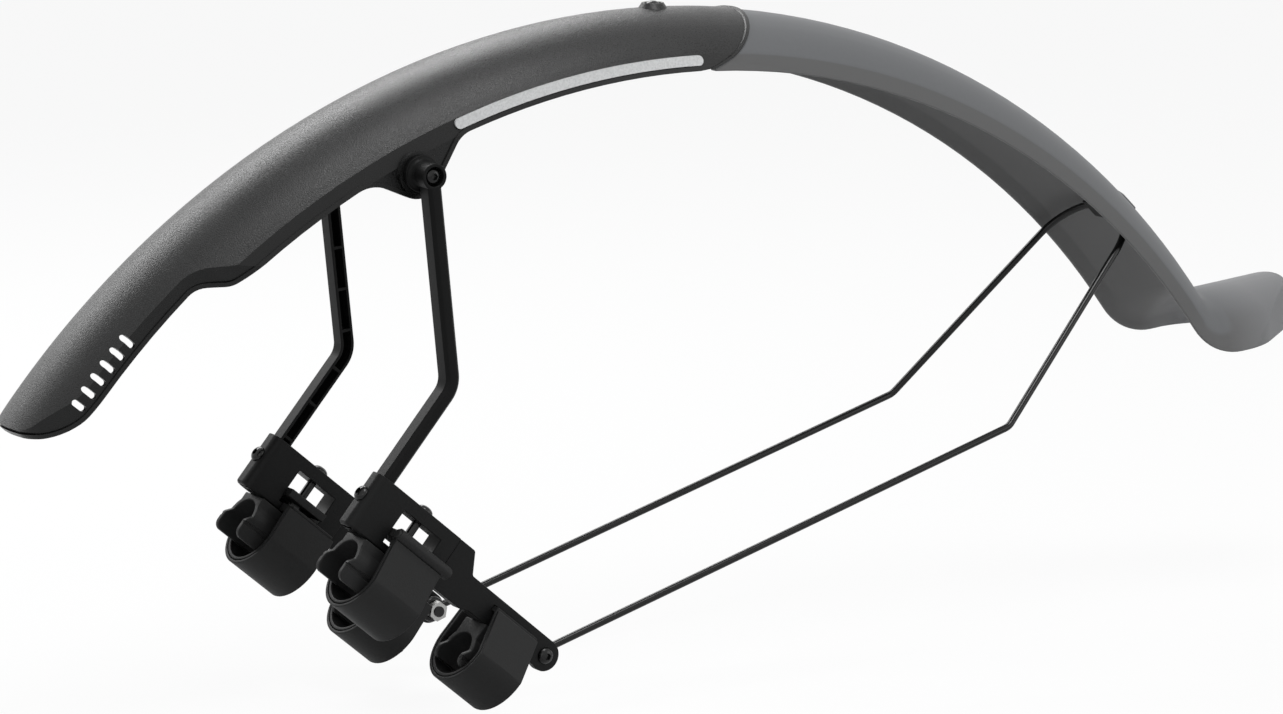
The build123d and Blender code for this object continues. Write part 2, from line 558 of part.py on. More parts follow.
def rear_extension():
    """Moulded channel that tucks into the blade by a stepped neck and ends in an outward flap."""
    shell = extension_bar(0.0, 0.0) - extension_bar(-EXT_WALL, DEEP)
    shell -= ahead_of_edge(EDGE_GAP)
    step_behind = EDGE_GAP + STEP_LENGTH
    hollow = extension_bar(NECK_INSET - EXT_WALL, 2 * DEEP, 2 * BLADE_REAR)
    step = extension_bar(0.0, 0.0, 1.5 * BLADE_REAR) - hollow
    step = (step - ahead_of_edge(EDGE_GAP)) & ahead_of_edge(step_behind)
    neck = extension_bar(NECK_INSET, DEEP, 1.5 * BLADE_REAR) - hollow
    neck -= Rot(90, 0, 0) * Cylinder(RIM_RADIUS + NECK_SHORT, 4 * WIDE)
    neck = neck & ahead_of_edge(EDGE_GAP + STEP_LENGTH / 2)
    up = radial(CROWN_SCREW_ANGLE)
    base = Plane(origin=up * CROWN_TOP, x_dir=(0, 1, 0), z_dir=up)
    slot = SlotOverall(NECK_SLOT, 2 * (CROWN_SCREW_RADIUS + CROWN_HOLE_GAP), rotation=90)
    neck -= extrude(base * slot, SKIRT_DEPTH, both=True)
    bump = extension_bar(CLIP_BUMP, 0.0, EXT_BEND_ANGLE) - extension_bar(-EXT_WALL / 2, DEEP, EXT_BEND_ANGLE)
    up = radial(CLIP_ANGLE)
    pad = Plane(origin=up * CROWN_TOP, x_dir=rearward(CLIP_ANGLE), z_dir=up)
    bump = bump & (pad * Box(CLIP_LENGTH, CLIP_WIDTH + 2 * CLIP_BUMP_MARGIN, CROWN_RISE))
    return shell + step + neck + bump


def crown_fastening():
    """Screw on the crown and the nut plate that lies against the inside of the neck."""
    top = CROWN_TOP + CROWN_BOSS_HEIGHT - CROWN_HEAD_SUNK
    angle = CROWN_SCREW_ANGLE
    seat = Plane(origin=radial(angle) * top, x_dir=rearward(angle), z_dir=radial(angle))
    length = top - NECK_INNER + PLATE_DEPTH + CROWN_SCREW_OUT
    shank = seat * Pos(0, 0, -length / 2) * Cylinder(CROWN_SCREW_RADIUS, length)
    screw = button_head(seat, radius=CROWN_HEAD_RADIUS, height=CROWN_HEAD_HEIGHT) + shank
    under = Plane(origin=radial(angle) * (NECK_INNER - PLATE_DEPTH), x_dir=rearward(angle), z_dir=radial(angle))
    plate = under * Pos(0, 0, PLATE_DEPTH) * Box(PLATE_LENGTH, PLATE_WIDTH, 2 * PLATE_DEPTH)
    plate = fillet(plate.edges().filter_by(Axis((0, 0, 0), radial(angle))), PLATE_CORNER)
    plate = plate & extension_bar(NECK_INSET - EXT_WALL - TOUCH_GAP, DEEP, BLADE_REAR)
    return screw, plate - under * Cylinder(CROWN_SCREW_RADIUS, 4 * PLATE_DEPTH)


def pivot_plane(w):
    """Plane across the left pivot at distance w from the middle plane, facing outwards."""
    return Plane(origin=(PIVOT_X, -w, PIVOT_Z), x_dir=(1, 0, 0), z_dir=(0, -1, 0))


def pivot_set():
    """Left pivot: screw, stepped spacer and threaded insert."""
    seat = ARM_OUTER - HEAD_HEIGHT - HEAD_CLEARANCE + SPACER_GAP
    inner = SKIRT_OUTER - BLADE_WALL - PIVOT_INNER_BOSS_DEPTH
    length = seat - inner
    head_plane = pivot_plane(seat)
    shank = head_plane * Pos(0, 0, -length / 2) * Cylinder(PIVOT_SCREW_RADIUS, length)
    screw = button_head(head_plane) + shank
    insert_length = PIVOT_RING_FACE - inner
    insert = pivot_plane(inner) * Pos(0, 0, insert_length / 2) * Cylinder(INSERT_RADIUS, insert_length)
    insert -= pivot_plane(inner) * Cylinder(PIVOT_SCREW_RADIUS, 4 * insert_length)
    face = pivot_plane(PIVOT_RING_FACE)
    spacer = face * Pos(0, 0, SPACER_FLANGE / 2) * Cylinder(SPACER_RADIUS, SPACER_FLANGE)
    spacer += face * Pos(0, 0, SPACER_LENGTH / 2) * Cylinder(SPACER_NECK_RADIUS, SPACER_LENGTH)
    spacer -= face * Cylinder(PIVOT_SCREW_RADIUS + SCREW_CLEARANCE, 4 * SPACER_LENGTH)
    return screw, spacer, insert


def arm():
    """Left arm: bent bar with a ribbed channel on its inner side and a hub at the top."""
    end = bracket_point(ARM_S, ARM_END_H, 0)
    top = Vector(PIVOT_X, 0, PIVOT_Z)
    up = radial(ARM_LEAN)
    run = (top - end).cross(OFF_STAY).Y / up.cross(OFF_STAY).Y
    knee = top - up * run
    path = FilletPolyline((end.X, end.Z), (knee.X, knee.Z), (top.X, top.Z), radius=ARM_KNEE_RADIUS)
    outer_plane = Plane(origin=(0, -ARM_INNER, 0), x_dir=(1, 0, 0), z_dir=(0, -1, 0))
    bar = extrude(outer_plane * trace(path, ARM_WIDTH), ARM_DEPTH)
    bar = chamfer(bar.faces().sort_by(Axis.Y)[0].edges().filter_by(lambda e: e.length > ARM_WIDTH), ARM_BEVEL)
    channel = extrude(outer_plane * trace(path, ARM_WIDTH - 2 * ARM_WALL), ARM_CHANNEL_DEPTH)
    channel -= bracket_box(ARM_S - ARM_WIDTH, ARM_S + ARM_WIDTH, ARM_END_H - ARM_WIDTH,
                           ARM_END_H + ARM_SOLID_END, 0, 2 * ARM_OUTER)
    hub_plane = pivot_plane(ARM_INNER)
    channel -= hub_plane * Pos(0, 0, ARM_DEPTH / 2) * Cylinder(ARM_HUB_RADIUS, 4 * ARM_DEPTH)
    upper_end = run - ARM_HUB_RADIUS - ARM_RIB
    lower_end = (knee - end).length - ARM_SOLID_END - ARM_RIB
    for direction, first, last in ((up, ARM_UPPER_RIB, upper_end), (OFF_STAY * -1, ARM_LOWER_RIB, lower_end)):
        for index in range(int((last - first) / ARM_RIB_STEP) + 1):
            spot = knee + direction * (first + index * ARM_RIB_STEP)
            across = Plane(origin=(spot.X, -ARM_INNER, spot.Z), x_dir=(0, -1, 0), z_dir=direction)
            channel -= across * Box(4 * ARM_DEPTH, 2 * ARM_WIDTH, ARM_RIB)
    hub = hub_plane * Pos(0, 0, ARM_DEPTH / 2) * Cylinder(ARM_HUB_RADIUS, ARM_DEPTH)
    body = (bar - channel) + hub
    counterbore = Cylinder(HEAD_RADIUS + HEAD_CLEARANCE, 2 * (HEAD_HEIGHT + HEAD_CLEARANCE))
    body -= hub_plane * Pos(0, 0, ARM_DEPTH) * counterbore
    body -= hub_plane * Cylinder(PIVOT_SCREW_RADIUS + PIVOT_FIT, 4 * ARM_DEPTH)
    return body


def bracket():
    """Left bracket: socket tube for the arm and a windowed frame, with a seat for the saddle pad."""
    socket_from = ARM_S - ARM_WIDTH / 2 - SOCKET_WALL
    body = bracket_box(socket_from, SEAM_S, SOCKET_BOTTOM, FRAME_TOP, FRAME_INNER, FRAME_OUTER)
    upright = body.edges().filter_by(Axis((0, 0, 0), OFF_STAY))
    body = fillet(upright.group_by(Axis((0, 0, 0), ALONG_STAY))[0], SOCKET_FRONT_BEND)
    underside = body.faces().sort_by(Axis((0, 0, 0), OFF_STAY))[0]
    body = chamfer(underside.edges().sort_by(Axis((0, 0, 0), ALONG_STAY))[:-1], SOCKET_LIP)
    body -= bracket_box(WINDOW_FROM, WINDOW_TO, WINDOW_BOTTOM, FRAME_TOP - FRAME_BAR, 0, WIDE)
    body -= bracket_box(SEAM_S - SEAM_LAP, SEAM_S, 0, WIDE, TAIL_INNER - SEAM_GAP, WIDE)
    body -= bracket_box(ARM_S - ARM_WIDTH / 2 - SLIDE_GAP, ARM_S + ARM_WIDTH / 2 + SLIDE_GAP, 0, WIDE,
                        ARM_INNER - SLIDE_GAP, ARM_OUTER + SLIDE_GAP)
    screw_w = (ARM_INNER + ARM_OUTER) / 2
    hole = Plane(origin=bracket_point(socket_from, SET_SCREW_H, screw_w), x_dir=(0, -1, 0), z_dir=ALONG_STAY)
    body -= hole * Cylinder(SET_SCREW_RADIUS, 2 * (SOCKET_WALL + SLIDE_GAP))
    top_hole = Plane(origin=bracket_point(TENSION_S, FRAME_TOP, TENSION_W), x_dir=(0, -1, 0), z_dir=OFF_STAY)
    body -= top_hole * Cylinder(TENSION_SCREW_RADIUS + TENSION_CLEARANCE, 3 * FRAME_BAR)
    return body


def set_screw():
    """Left clamping screw of the arm."""
    seat_s = ARM_S - ARM_WIDTH / 2 - SOCKET_WALL
    tip_s = ARM_S - ARM_WIDTH / 2 - SET_SCREW_GAP
    screw_w = (ARM_INNER + ARM_OUTER) / 2
    seat = Plane(origin=bracket_point(seat_s, SET_SCREW_H, screw_w), x_dir=(0, -1, 0), z_dir=ALONG_STAY * -1)
    length = tip_s - seat_s
    shank = seat * Pos(0, 0, -length / 2) * Cylinder(SET_SCREW_RADIUS, length)
    return button_head(seat, radius=SET_HEAD_RADIUS, height=SMALL_HEAD_HEIGHT) + shank


def tension_set():
    """Left strap tensioning screw and its nut under the strap's tongue."""
    seat = Plane(origin=bracket_point(TENSION_S, FRAME_TOP, TENSION_W), x_dir=(0, -1, 0), z_dir=OFF_STAY)
    nut_top = ROLL_H - TONGUE_HALF - NUT_GAP
    length = FRAME_TOP - nut_top + NUT_HEIGHT
    shank = seat * Pos(0, 0, -length / 2) * Cylinder(TENSION_SCREW_RADIUS, length)
    screw = button_head(seat, radius=TENSION_HEAD_RADIUS, height=SMALL_HEAD_HEIGHT) + shank
    under = Plane(origin=bracket_point(TENSION_S, nut_top, TENSION_W), x_dir=(0, -1, 0), z_dir=OFF_STAY * -1)
    nut = extrude(under * RegularPolygon(NUT_RADIUS, 6), NUT_HEIGHT)
    nut -= under * Cylinder(TENSION_SCREW_RADIUS, 4 * NUT_HEIGHT)
    return screw, nut


def tail():
    """Left tail arm: plate with the strap slot, the lower saddle's seat and the eye lobe."""
    top = FRAME_TOP - SEAM_GAP
    corners = [(SEAM_S, TAIL_BOTTOM, 0), (SEAM_S, top, 0), (TAIL_STEP_S - TAIL_SLANT, top, TAIL_CORNER_BEND),
               (TAIL_STEP_S + TAIL_CORNER_BEND, TAIL_TOP, TAIL_CORNER_BEND), (EYE_S, EYE_H + EYE_LOBE, 0),
               (EYE_S, EYE_H - EYE_LOBE, 0), (LOWER_PAD_TO, LOWER_SEAT_H, 0), (LOWER_PAD_FROM, LOWER_SEAT_H, 0),
               (LOWER_PAD_FROM - TAIL_SLANT, TAIL_BOTTOM, 0)]
    face = rounded_outline(corners) + Pos(EYE_S, EYE_H) * Circle(EYE_LOBE)
    plate = extrude(BRACKET.offset(TAIL_INNER) * face, TAIL_WALL)
    plate -= bracket_box(EYE_S - EYE_LOBE - EYE_RELIEF, EYE_S + WIDE, 0, WIDE, 0, EYE_PLATE_INNER)
    lug = bracket_box(SEAM_S - SEAM_LAP + SEAM_GAP, SEAM_S, TAIL_BOTTOM, top, TAIL_INNER, TAIL_OUTER)
    saddle_seat = bracket_box(LOWER_PAD_FROM + PAD_WALL, LOWER_PAD_TO - 2 * PAD_WALL, LOWER_SEAT_H,
                              SEAT_TOP_H, TUBE_W - SEAT_INBOARD, TAIL_INNER)
    body = plate + lug + saddle_seat
    body -= bracket_box(SLOT_FROM, SLOT_TO, SLOT_BOTTOM, SLOT_TOP, 0, WIDE)
    body -= bracket_rod(EYE_S, EYE_H, 0, WIDE, PIVOT_SCREW_RADIUS + SCREW_CLEARANCE)
    return body


def eye_set():
    """Left eye screw and hexagon nut."""
    seat = Plane(origin=bracket_point(EYE_S, EYE_H, TAIL_OUTER), x_dir=ALONG_STAY, z_dir=(0, -1, 0))
    nut_outer = WIRE_Y - WIRE_RADIUS - EYE_SIDE_GAP
    length = TAIL_OUTER - nut_outer + EYE_NUT_HEIGHT + EYE_SCREW_OUT
    shank = seat * Pos(0, 0, -length / 2) * Cylinder(PIVOT_SCREW_RADIUS, length)
    screw = button_head(seat) + shank
    inner = Plane(origin=bracket_point(EYE_S, EYE_H, nut_outer), x_dir=ALONG_STAY, z_dir=(0, 1, 0))
    nut = extrude(inner * RegularPolygon(EYE_NUT_RADIUS, 6), EYE_NUT_HEIGHT)
    nut -= inner * Cylinder(PIVOT_SCREW_RADIUS, 4 * EYE_NUT_HEIGHT)
    return screw, nut


def saddle(s_from, s_to, leg, seat_h):
    """Saddle pad over the seat stay: an arch with lobed legs below and a block up to its seat."""
    outer = PAD_RADIUS + PAD_WALL
    plane = across_stay(s_to)
    arch = plane * Pos(TUBE_W, TUBE_H) * Circle(outer)
    legs = plane * Pos(TUBE_W, TUBE_H - leg / 2) * Rectangle(2 * outer, leg)
    block = plane * Pos(TUBE_W, (TUBE_H + seat_h) / 2) * Rectangle(2 * outer - 2 * PAD_WALL, seat_h - TUBE_H)
    hole = plane * Pos(TUBE_W, TUBE_H) * Circle(PAD_RADIUS)
    gap = plane * Pos(TUBE_W, TUBE_H - WIDE / 2) * Rectangle(2 * PAD_RADIUS, WIDE)
    below = plane * Pos(TUBE_W, TUBE_H - leg - WIDE / 2) * Rectangle(4 * outer, WIDE)
    body = extrude((arch + legs + block) - hole - gap - below, s_to - s_from)
    front = s_from + PAD_LOBE
    lobe_top = TUBE_H + PAD_LOBE / 2
    low = TUBE_H - leg
    corners = [(s_to, seat_h + 1, 0), (front, seat_h + 1, 0), (front, lobe_top, PAD_LOBE / 2),
               (s_from, lobe_top - PAD_LOBE, PAD_LOBE), (s_from, low, PAD_BEND), (s_to, low, PAD_BEND)]
    body = body & extrude(BRACKET * rounded_outline(corners), 2 * TUBE_W)
    groove_top = TUBE_H - PAD_GROOVE_DROP
    for sign in (-1, 1):
        side = TUBE_W + sign * outer
        body -= bracket_box(s_from - 1, s_to + 1, groove_top - PAD_GROOVE, groove_top,
                            side - PAD_GROOVE / 2, side + PAD_GROOVE / 2)
    return body


def loop_profile(loop_h, radius, outboard, inboard):
    """Half-open band around the seat stay, in local (w, h): from outboard over the bottom to inboard."""
    path = Line(outboard, (TUBE_W + radius, loop_h))
    path += ThreePointArc((TUBE_W + radius, loop_h), (TUBE_W, loop_h - radius), (TUBE_W - radius, loop_h))
    path += Line((TUBE_W - radius, loop_h), inboard)
    return path


def strap_band(s_from, s_to, path):
    """Strap of two layers along a path in local (w, h); a groove in both ends shows the joint between them."""
    band = extrude(across_stay(s_to) * trace(path, STRAP_WALL), s_to - s_from)
    joint = trace(path, STRAP_JOINT)
    for s in (s_from, s_to):
        band -= extrude(across_stay(s) * joint, STRAP_JOINT_DEPTH, both=True)
    return band


def upper_strap():
    """Left upper strap: U band with a lip and a roll on its outboard end, and a tongue under the frame."""
    middle = UPPER_STRAP_RADIUS - STRAP_WALL / 2
    lip_top = ROLL_H - ROLL_RADIUS + STRAP_JOINT
    lip_low = lip_top - LIP_HEIGHT
    hook = (TUBE_W - middle + HOOK_LEAN, SOCKET_BOTTOM + HOOK_RISE)
    start, stop, half_wall = UPPER_STRAP_FROM, UPPER_STRAP_TO, STRAP_WALL / 2
    body = strap_band(start, stop, loop_profile(UPPER_LOOP_H, middle, (ROLL_W, lip_top), hook))
    body += bracket_box(start, stop, lip_low, lip_top, ROLL_W, ROLL_W + half_wall + LIP_PROUD)
    body += bracket_box(start, stop, lip_low, ROLL_H, ROLL_W - half_wall, ROLL_W)
    for radius, reach in ((ROLL_RADIUS, 0), (PIN_RADIUS, PIN_OUT)):
        face = across_stay(ROLL_TO + reach) * Pos(ROLL_W, ROLL_H) * Circle(radius)
        body += extrude(face, ROLL_TO - start + 2 * reach)
    body += bracket_box(WINDOW_FROM + TONGUE_GAP, WINDOW_TO - TONGUE_GAP, ROLL_H - TONGUE_HALF,
                        ROLL_H + TONGUE_HALF, FRAME_INNER - STRAP_WALL, ROLL_W)
    body += bracket_box(start + HOOK_LEAN, stop - HOOK_LEAN, hook[1] - HOOK_RISE + TONGUE_GAP,
                        hook[1] + HOOK_LEAN, TUBE_W - middle, FRAME_INNER - EYE_SIDE_GAP)
    top_hole = Plane(origin=bracket_point(TENSION_S, ROLL_H, TENSION_W), x_dir=(0, -1, 0), z_dir=OFF_STAY)
    body -= top_hole * Cylinder(TENSION_SCREW_RADIUS + TENSION_CLEARANCE, 6 * TONGUE_HALF)
    return body


def lower_strap():
    """Left lower strap: U band whose outboard end runs through the tail's slot to a bead inside."""
    middle = LOWER_STRAP_RADIUS - STRAP_WALL / 2
    slot_h = (SLOT_BOTTOM + SLOT_TOP) / 2
    shoulder = TAIL_OUTER + STRAP_WALL
    far_end = (TUBE_W - middle + HOOK_LEAN, slot_h - STRAP_WALL)
    start, stop = SLOT_FROM + STRAP_SIDE_GAP, SLOT_TO - STRAP_SIDE_GAP
    near_end = (shoulder, slot_h - STRAP_JOINT)
    body = strap_band(start, stop, loop_profile(LOWER_LOOP_H, middle, near_end, far_end))
    body += bracket_box(start, stop, SLOT_BOTTOM + STRAP_SLOT_GAP, SLOT_TOP - STRAP_SLOT_GAP,
                        TAIL_INNER - STRAP_WALL, shoulder)
    bead = across_stay(stop) * Pos(TAIL_INNER - STRAP_BEAD - STRAP_SLOT_GAP, slot_h) * Circle(STRAP_BEAD)
    return body + extrude(bead, stop - start)


def arch_run():
    """Bend point of the stay, direction from there to the arch's top, and the distance."""
    bend = Vector(BEND_X, 0, BEND_Z)
    run = radial(CLIP_ANGLE) * ARCH_TOP_RADIUS - bend
    return bend, run.normalized(), run.length


def stay_wire():
    """Stay: one wire from eye to eye, bent up and arched across under the extension's crown."""
    eye = bracket_point(EYE_S, EYE_H, 0)
    bend, up, rise = arch_run()
    arch_centre = rise - ARCH_RADIUS
    reach = math.hypot(WIRE_Y, arch_centre)
    swing = math.degrees(math.acos(ARCH_RADIUS / reach)) + math.degrees(math.atan2(-arch_centre, WIRE_Y))

    def arch_point(angle):
        """Point of the left half of the arch, at this angle up from its horizontal."""
        across = ARCH_RADIUS * math.cos(math.radians(angle))
        along = arch_centre + ARCH_RADIUS * math.sin(math.radians(angle))
        return bend + up * along + Vector(0, -across, 0)

    foot = Vector(eye.X, -WIRE_Y, eye.Z)
    corner = Vector(bend.X, -WIRE_Y, bend.Z)
    along = (corner - foot).normalized()
    start = foot + along * EYE_RING_RADIUS
    touch = arch_point(swing)
    path = FilletPolyline(start, corner, touch, radius=BEND_RADIUS)
    path += ThreePointArc(touch, arch_point((swing + 90) / 2), arch_point(90))
    half = sweep(Plane(origin=start, z_dir=along) * Circle(WIRE_RADIUS), path=path)
    half += Plane(origin=foot, x_dir=(1, 0, 0), z_dir=(0, 1, 0)) * Torus(EYE_RING_RADIUS, WIRE_RADIUS)
    return half + mirror(half, about=Plane.XZ)


def stay_clip():
    """Clip under the extension's crown that holds the stay's arch."""
    bend, up, rise = arch_run()
    place = Plane(origin=radial(CLIP_ANGLE) * ARCH_TOP_RADIUS, x_dir=rearward(CLIP_ANGLE), z_dir=radial(CLIP_ANGLE))
    depth = 2 * WIRE_RADIUS + CLIP_FLOOR
    block = place * Pos(0, 0, WIDE / 2 - depth) * Box(CLIP_LENGTH, CLIP_WIDTH, WIDE)
    body = block & extension_bar(-EXT_WALL - TOUCH_GAP, DEEP, EXT_BEND_ANGLE)
    arch = Plane(origin=bend + up * (rise - ARCH_RADIUS), x_dir=(0, -1, 0), z_dir=Vector(0, -1, 0).cross(up))
    return body - arch * Torus(ARCH_RADIUS, WIRE_RADIUS + CLIP_GAP)


def build():
    """All nodes in the wheel frame, by name."""
    nodes = {"front_blade": front_blade(), "rear_extension": rear_extension()}
    nodes["reflector_left"] = reflector_block(-1)
    nodes["crown_screw"], nodes["crown_nut_plate"] = crown_fastening()
    nodes["stay_wire"] = stay_wire()
    nodes["stay_clip"] = stay_clip()
    nodes["pivot_screw_left"], nodes["pivot_spacer_left"], nodes["pivot_insert_left"] = pivot_set()
    nodes["arm_left"] = arm()
    nodes["bracket_left"] = bracket()
    nodes["set_screw_left"] = set_screw()
    nodes["tension_screw_left"], nodes["tension_nut_left"] = tension_set()
    nodes["tail_left"] = tail()
    nodes["eye_screw_left"], nodes["eye_nut_left"] = eye_set()
    nodes["upper_pad_left"] = saddle(UPPER_PAD_FROM, UPPER_PAD_TO, UPPER_PAD_LEG, SOCKET_BOTTOM)
    nodes["lower_pad_left"] = saddle(LOWER_PAD_FROM, LOWER_PAD_TO, LOWER_PAD_LEG, LOWER_SEAT_H)
    nodes["upper_strap_left"] = upper_strap()
    nodes["lower_strap_left"] = lower_strap()
    for name in [name for name in nodes if name.endswith("_left")]:
        nodes[name.replace("_left", "_right")] = mirror(nodes[name], about=Plane.XZ)
    return nodes


def main():
    """Write one STEP file for each node, with the part's origin between the upper saddles."""
    os.makedirs("parts", exist_ok=True)
    origin = bracket_point(ORIGIN_S, ORIGIN_H, 0)
    for name, shape in build().items():
        solids = shape.solids()
        placed = Pos(-origin.X, 0, -origin.Z) * (solids[0] if len(solids) == 1 else Compound(solids))
        placed.label = name
        export_step(placed, f"parts/{name}.step")
        print(name, len(solids), round(sum(solid.volume for solid in solids)))


if __name__ == "__main__":
    main()
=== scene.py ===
"""Clip-on rear mudguard: finishes, fine pieces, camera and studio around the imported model."""

import json
import logging
import math
from collections.abc import Sequence
from dataclasses import dataclass, field
from enum import Enum

import bmesh
import bpy
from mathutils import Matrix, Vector

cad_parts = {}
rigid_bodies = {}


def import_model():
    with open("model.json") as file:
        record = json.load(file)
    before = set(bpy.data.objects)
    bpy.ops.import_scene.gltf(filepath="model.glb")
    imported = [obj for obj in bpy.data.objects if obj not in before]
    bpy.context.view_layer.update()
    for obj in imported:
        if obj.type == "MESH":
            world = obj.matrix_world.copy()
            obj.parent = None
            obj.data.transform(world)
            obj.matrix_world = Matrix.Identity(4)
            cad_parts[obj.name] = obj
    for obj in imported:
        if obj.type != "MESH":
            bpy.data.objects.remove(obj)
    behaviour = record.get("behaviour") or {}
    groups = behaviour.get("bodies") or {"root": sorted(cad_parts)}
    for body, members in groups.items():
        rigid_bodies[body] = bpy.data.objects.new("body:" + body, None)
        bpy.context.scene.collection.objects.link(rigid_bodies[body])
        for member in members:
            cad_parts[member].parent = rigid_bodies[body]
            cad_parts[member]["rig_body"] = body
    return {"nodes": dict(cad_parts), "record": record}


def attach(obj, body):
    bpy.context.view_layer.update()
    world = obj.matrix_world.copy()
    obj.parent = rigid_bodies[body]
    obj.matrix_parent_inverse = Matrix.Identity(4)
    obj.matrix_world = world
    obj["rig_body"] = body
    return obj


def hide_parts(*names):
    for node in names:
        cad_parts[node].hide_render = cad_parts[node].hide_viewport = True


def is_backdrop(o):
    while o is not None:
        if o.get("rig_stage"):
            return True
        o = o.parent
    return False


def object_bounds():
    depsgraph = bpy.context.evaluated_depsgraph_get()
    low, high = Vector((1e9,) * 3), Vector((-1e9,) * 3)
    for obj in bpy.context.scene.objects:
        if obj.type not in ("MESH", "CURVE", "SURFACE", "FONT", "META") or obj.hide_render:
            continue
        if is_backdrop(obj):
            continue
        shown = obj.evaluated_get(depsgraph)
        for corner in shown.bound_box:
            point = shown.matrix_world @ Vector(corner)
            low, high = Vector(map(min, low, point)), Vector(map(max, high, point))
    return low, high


LOG = logging.getLogger("mudguard")

# Photograph's frame and viewpoint, in the part's own frame
PHOTO_WIDTH = 1283
PHOTO_HEIGHT = 714
CAMERA_AT = Vector((-0.853403, -1.6157, 0.430706))
CAMERA_AZIMUTH = math.radians(-32.31)
CAMERA_ELEVATION = math.radians(10.69)
FOCAL_PIXELS = 4314.0
SENSOR_WIDTH = 36.0

# Where the wheel's axle lies from the part's origin
AXLE = Vector((0.172097, 0.0, -0.160294))

# Directions along the seat stays, away from them, and out of the crown at its screw
STAY_SLOPE = math.radians(40.7)
CROWN_SCREW_ANGLE = math.radians(0.32)
ALONG_STAY = Vector((math.cos(STAY_SLOPE), 0.0, -math.sin(STAY_SLOPE)))
OFF_STAY = Vector((math.sin(STAY_SLOPE), 0.0, math.cos(STAY_SLOPE)))
CROWN_UP = Vector((math.sin(CROWN_SCREW_ANGLE), 0.0, math.cos(CROWN_SCREW_ANGLE)))

# Colour of the blade's smooth skirts below its grained crown: darker than the crown, which is painted shade
# on these side-facing faces
SKIRT_COLOUR_WITH_PAINTED_SHADE = (0.004, 0.0041, 0.0041)

# Faces of a swept or domed piece that meet at a larger angle keep a sharp edge
SHARP_ANGLE = math.radians(32.0)


class Finish(Enum):
    """The finishes of the mudguard's pieces, by the name of their material."""

    BLADE = "blade_textured_black"
    EXTENSION = "extension_smoky_grey"
    REFLECTOR = "reflector_speckled_grey"
    ARM = "arm_moulded_black"
    BRACKET = "bracket_moulded_black"
    STRAP = "strap_black_rubber"
    SCREW = "screw_black_oxide"
    NUT = "nut_plated_steel"
    BRASS = "insert_brass"
    WIRE = "wire_coated_black"


@dataclass(frozen=True)
class Plastic:
    """A moulded plastic, a rubber or a metal: its base colour, its gloss, and its mottling and grain."""

    colour: tuple[float, float, float]
    roughness: float
    grain_size: float
    grain_depth: float
    mottle: float = 0.06
    specular: float = 0.5
    metallic: float = 0.0


@dataclass(frozen=True)
class SmokyPlastic:
    """The extension's slightly see-through plastic, with painted shade on its side-facing skirts and painted
    light on its flap behind a place along the part.
    """

    crown: tuple[float, float, float] = (0.138, 0.142, 0.147)
    # Painted shade: the side-facing skirts' darker grey
    skirt_painted_shade: tuple[float, float, float] = (0.113, 0.113, 0.113)
    # Painted light: the flap's paler grey, and where along the part it sets in
    flap: tuple[float, float, float] = (0.215, 0.217, 0.222)
    painted_light_from: float = 0.482
    painted_light_to: float = 0.512
    roughness: float = 0.5
    grain_size: float = 0.002
    mottle: float = 0.03
    opacity: float = 0.93
    specular: float = 0.3


@dataclass(frozen=True)
class ReflectiveFilm:
    """The reflector's pale film, speckled with small cells between a darker and a paler grey."""

    darker: tuple[float, float, float] = (0.50, 0.505, 0.505)
    paler: tuple[float, float, float] = (0.62, 0.625, 0.625)
    darker_until: float = 0.1
    paler_from: float = 0.8
    cells_per_metre: float = 1400.0
    roughness: float = 0.35


@dataclass(frozen=True)
class Grain:
    """The grain that all finishes share: a fine and a broad noise, and how far they reach."""

    fine_detail: float = 2.0
    fine_roughness: float = 0.6
    broad_per_metre: float = 28.0
    broad_detail: float = 3.0
    broad_share: float = 0.35
    low: float = 0.3
    high: float = 0.7
    middle: float = 0.5
    tint_reach: float = 2.0
    gloss_reach: float = 0.8
    depth_share: float = 0.5


PLASTICS: dict[Finish, Plastic] = {
    Finish.BLADE: Plastic((0.016, 0.0162, 0.0162), 0.33, 0.0005, 0.3, mottle=0.6, specular=0.30),
    Finish.ARM: Plastic((0.0045, 0.0046, 0.0046), 0.42, 0.0006, 0.06, mottle=0.08, specular=0.11),
    Finish.BRACKET: Plastic((0.0065, 0.0067, 0.0067), 0.46, 0.0007, 0.08, mottle=0.08, specular=0.14),
    Finish.STRAP: Plastic((0.014, 0.0142, 0.0142), 0.5, 0.0009, 0.06, mottle=0.08, specular=0.17),
    Finish.SCREW: Plastic((0.003, 0.003, 0.003), 0.22, 0.0005, 0.03, specular=0.35),
    Finish.NUT: Plastic((0.40, 0.40, 0.39), 0.22, 0.0004, 0.03, metallic=1.0),
    Finish.BRASS: Plastic((0.58, 0.44, 0.22), 0.3, 0.0004, 0.03, metallic=1.0),
    Finish.WIRE: Plastic((0.003, 0.003, 0.003), 0.24, 0.0015, 0.0, mottle=0.0, specular=0.3),
}

NODE_FINISH: dict[str, Finish] = {
    "front_blade": Finish.BLADE,
    "rear_extension": Finish.EXTENSION,
    "reflector": Finish.REFLECTOR,
    "crown_screw": Finish.SCREW,
    "crown_nut_plate": Finish.ARM,
    "stay_clip": Finish.ARM,
    "stay_wire": Finish.WIRE,
    "pivot_screw": Finish.SCREW,
    "pivot_spacer": Finish.ARM,
    "pivot_insert": Finish.BRASS,
    "arm": Finish.ARM,
    "bracket": Finish.BRACKET,
    "tail": Finish.BRACKET,
    "set_screw": Finish.SCREW,
    "tension_screw": Finish.SCREW,
    "tension_nut": Finish.SCREW,
    "upper_strap": Finish.STRAP,
    "lower_strap": Finish.STRAP,
    "upper_pad": Finish.STRAP,
    "lower_pad": Finish.STRAP,
    "eye_screw": Finish.SCREW,
    "eye_nut": Finish.NUT,
}

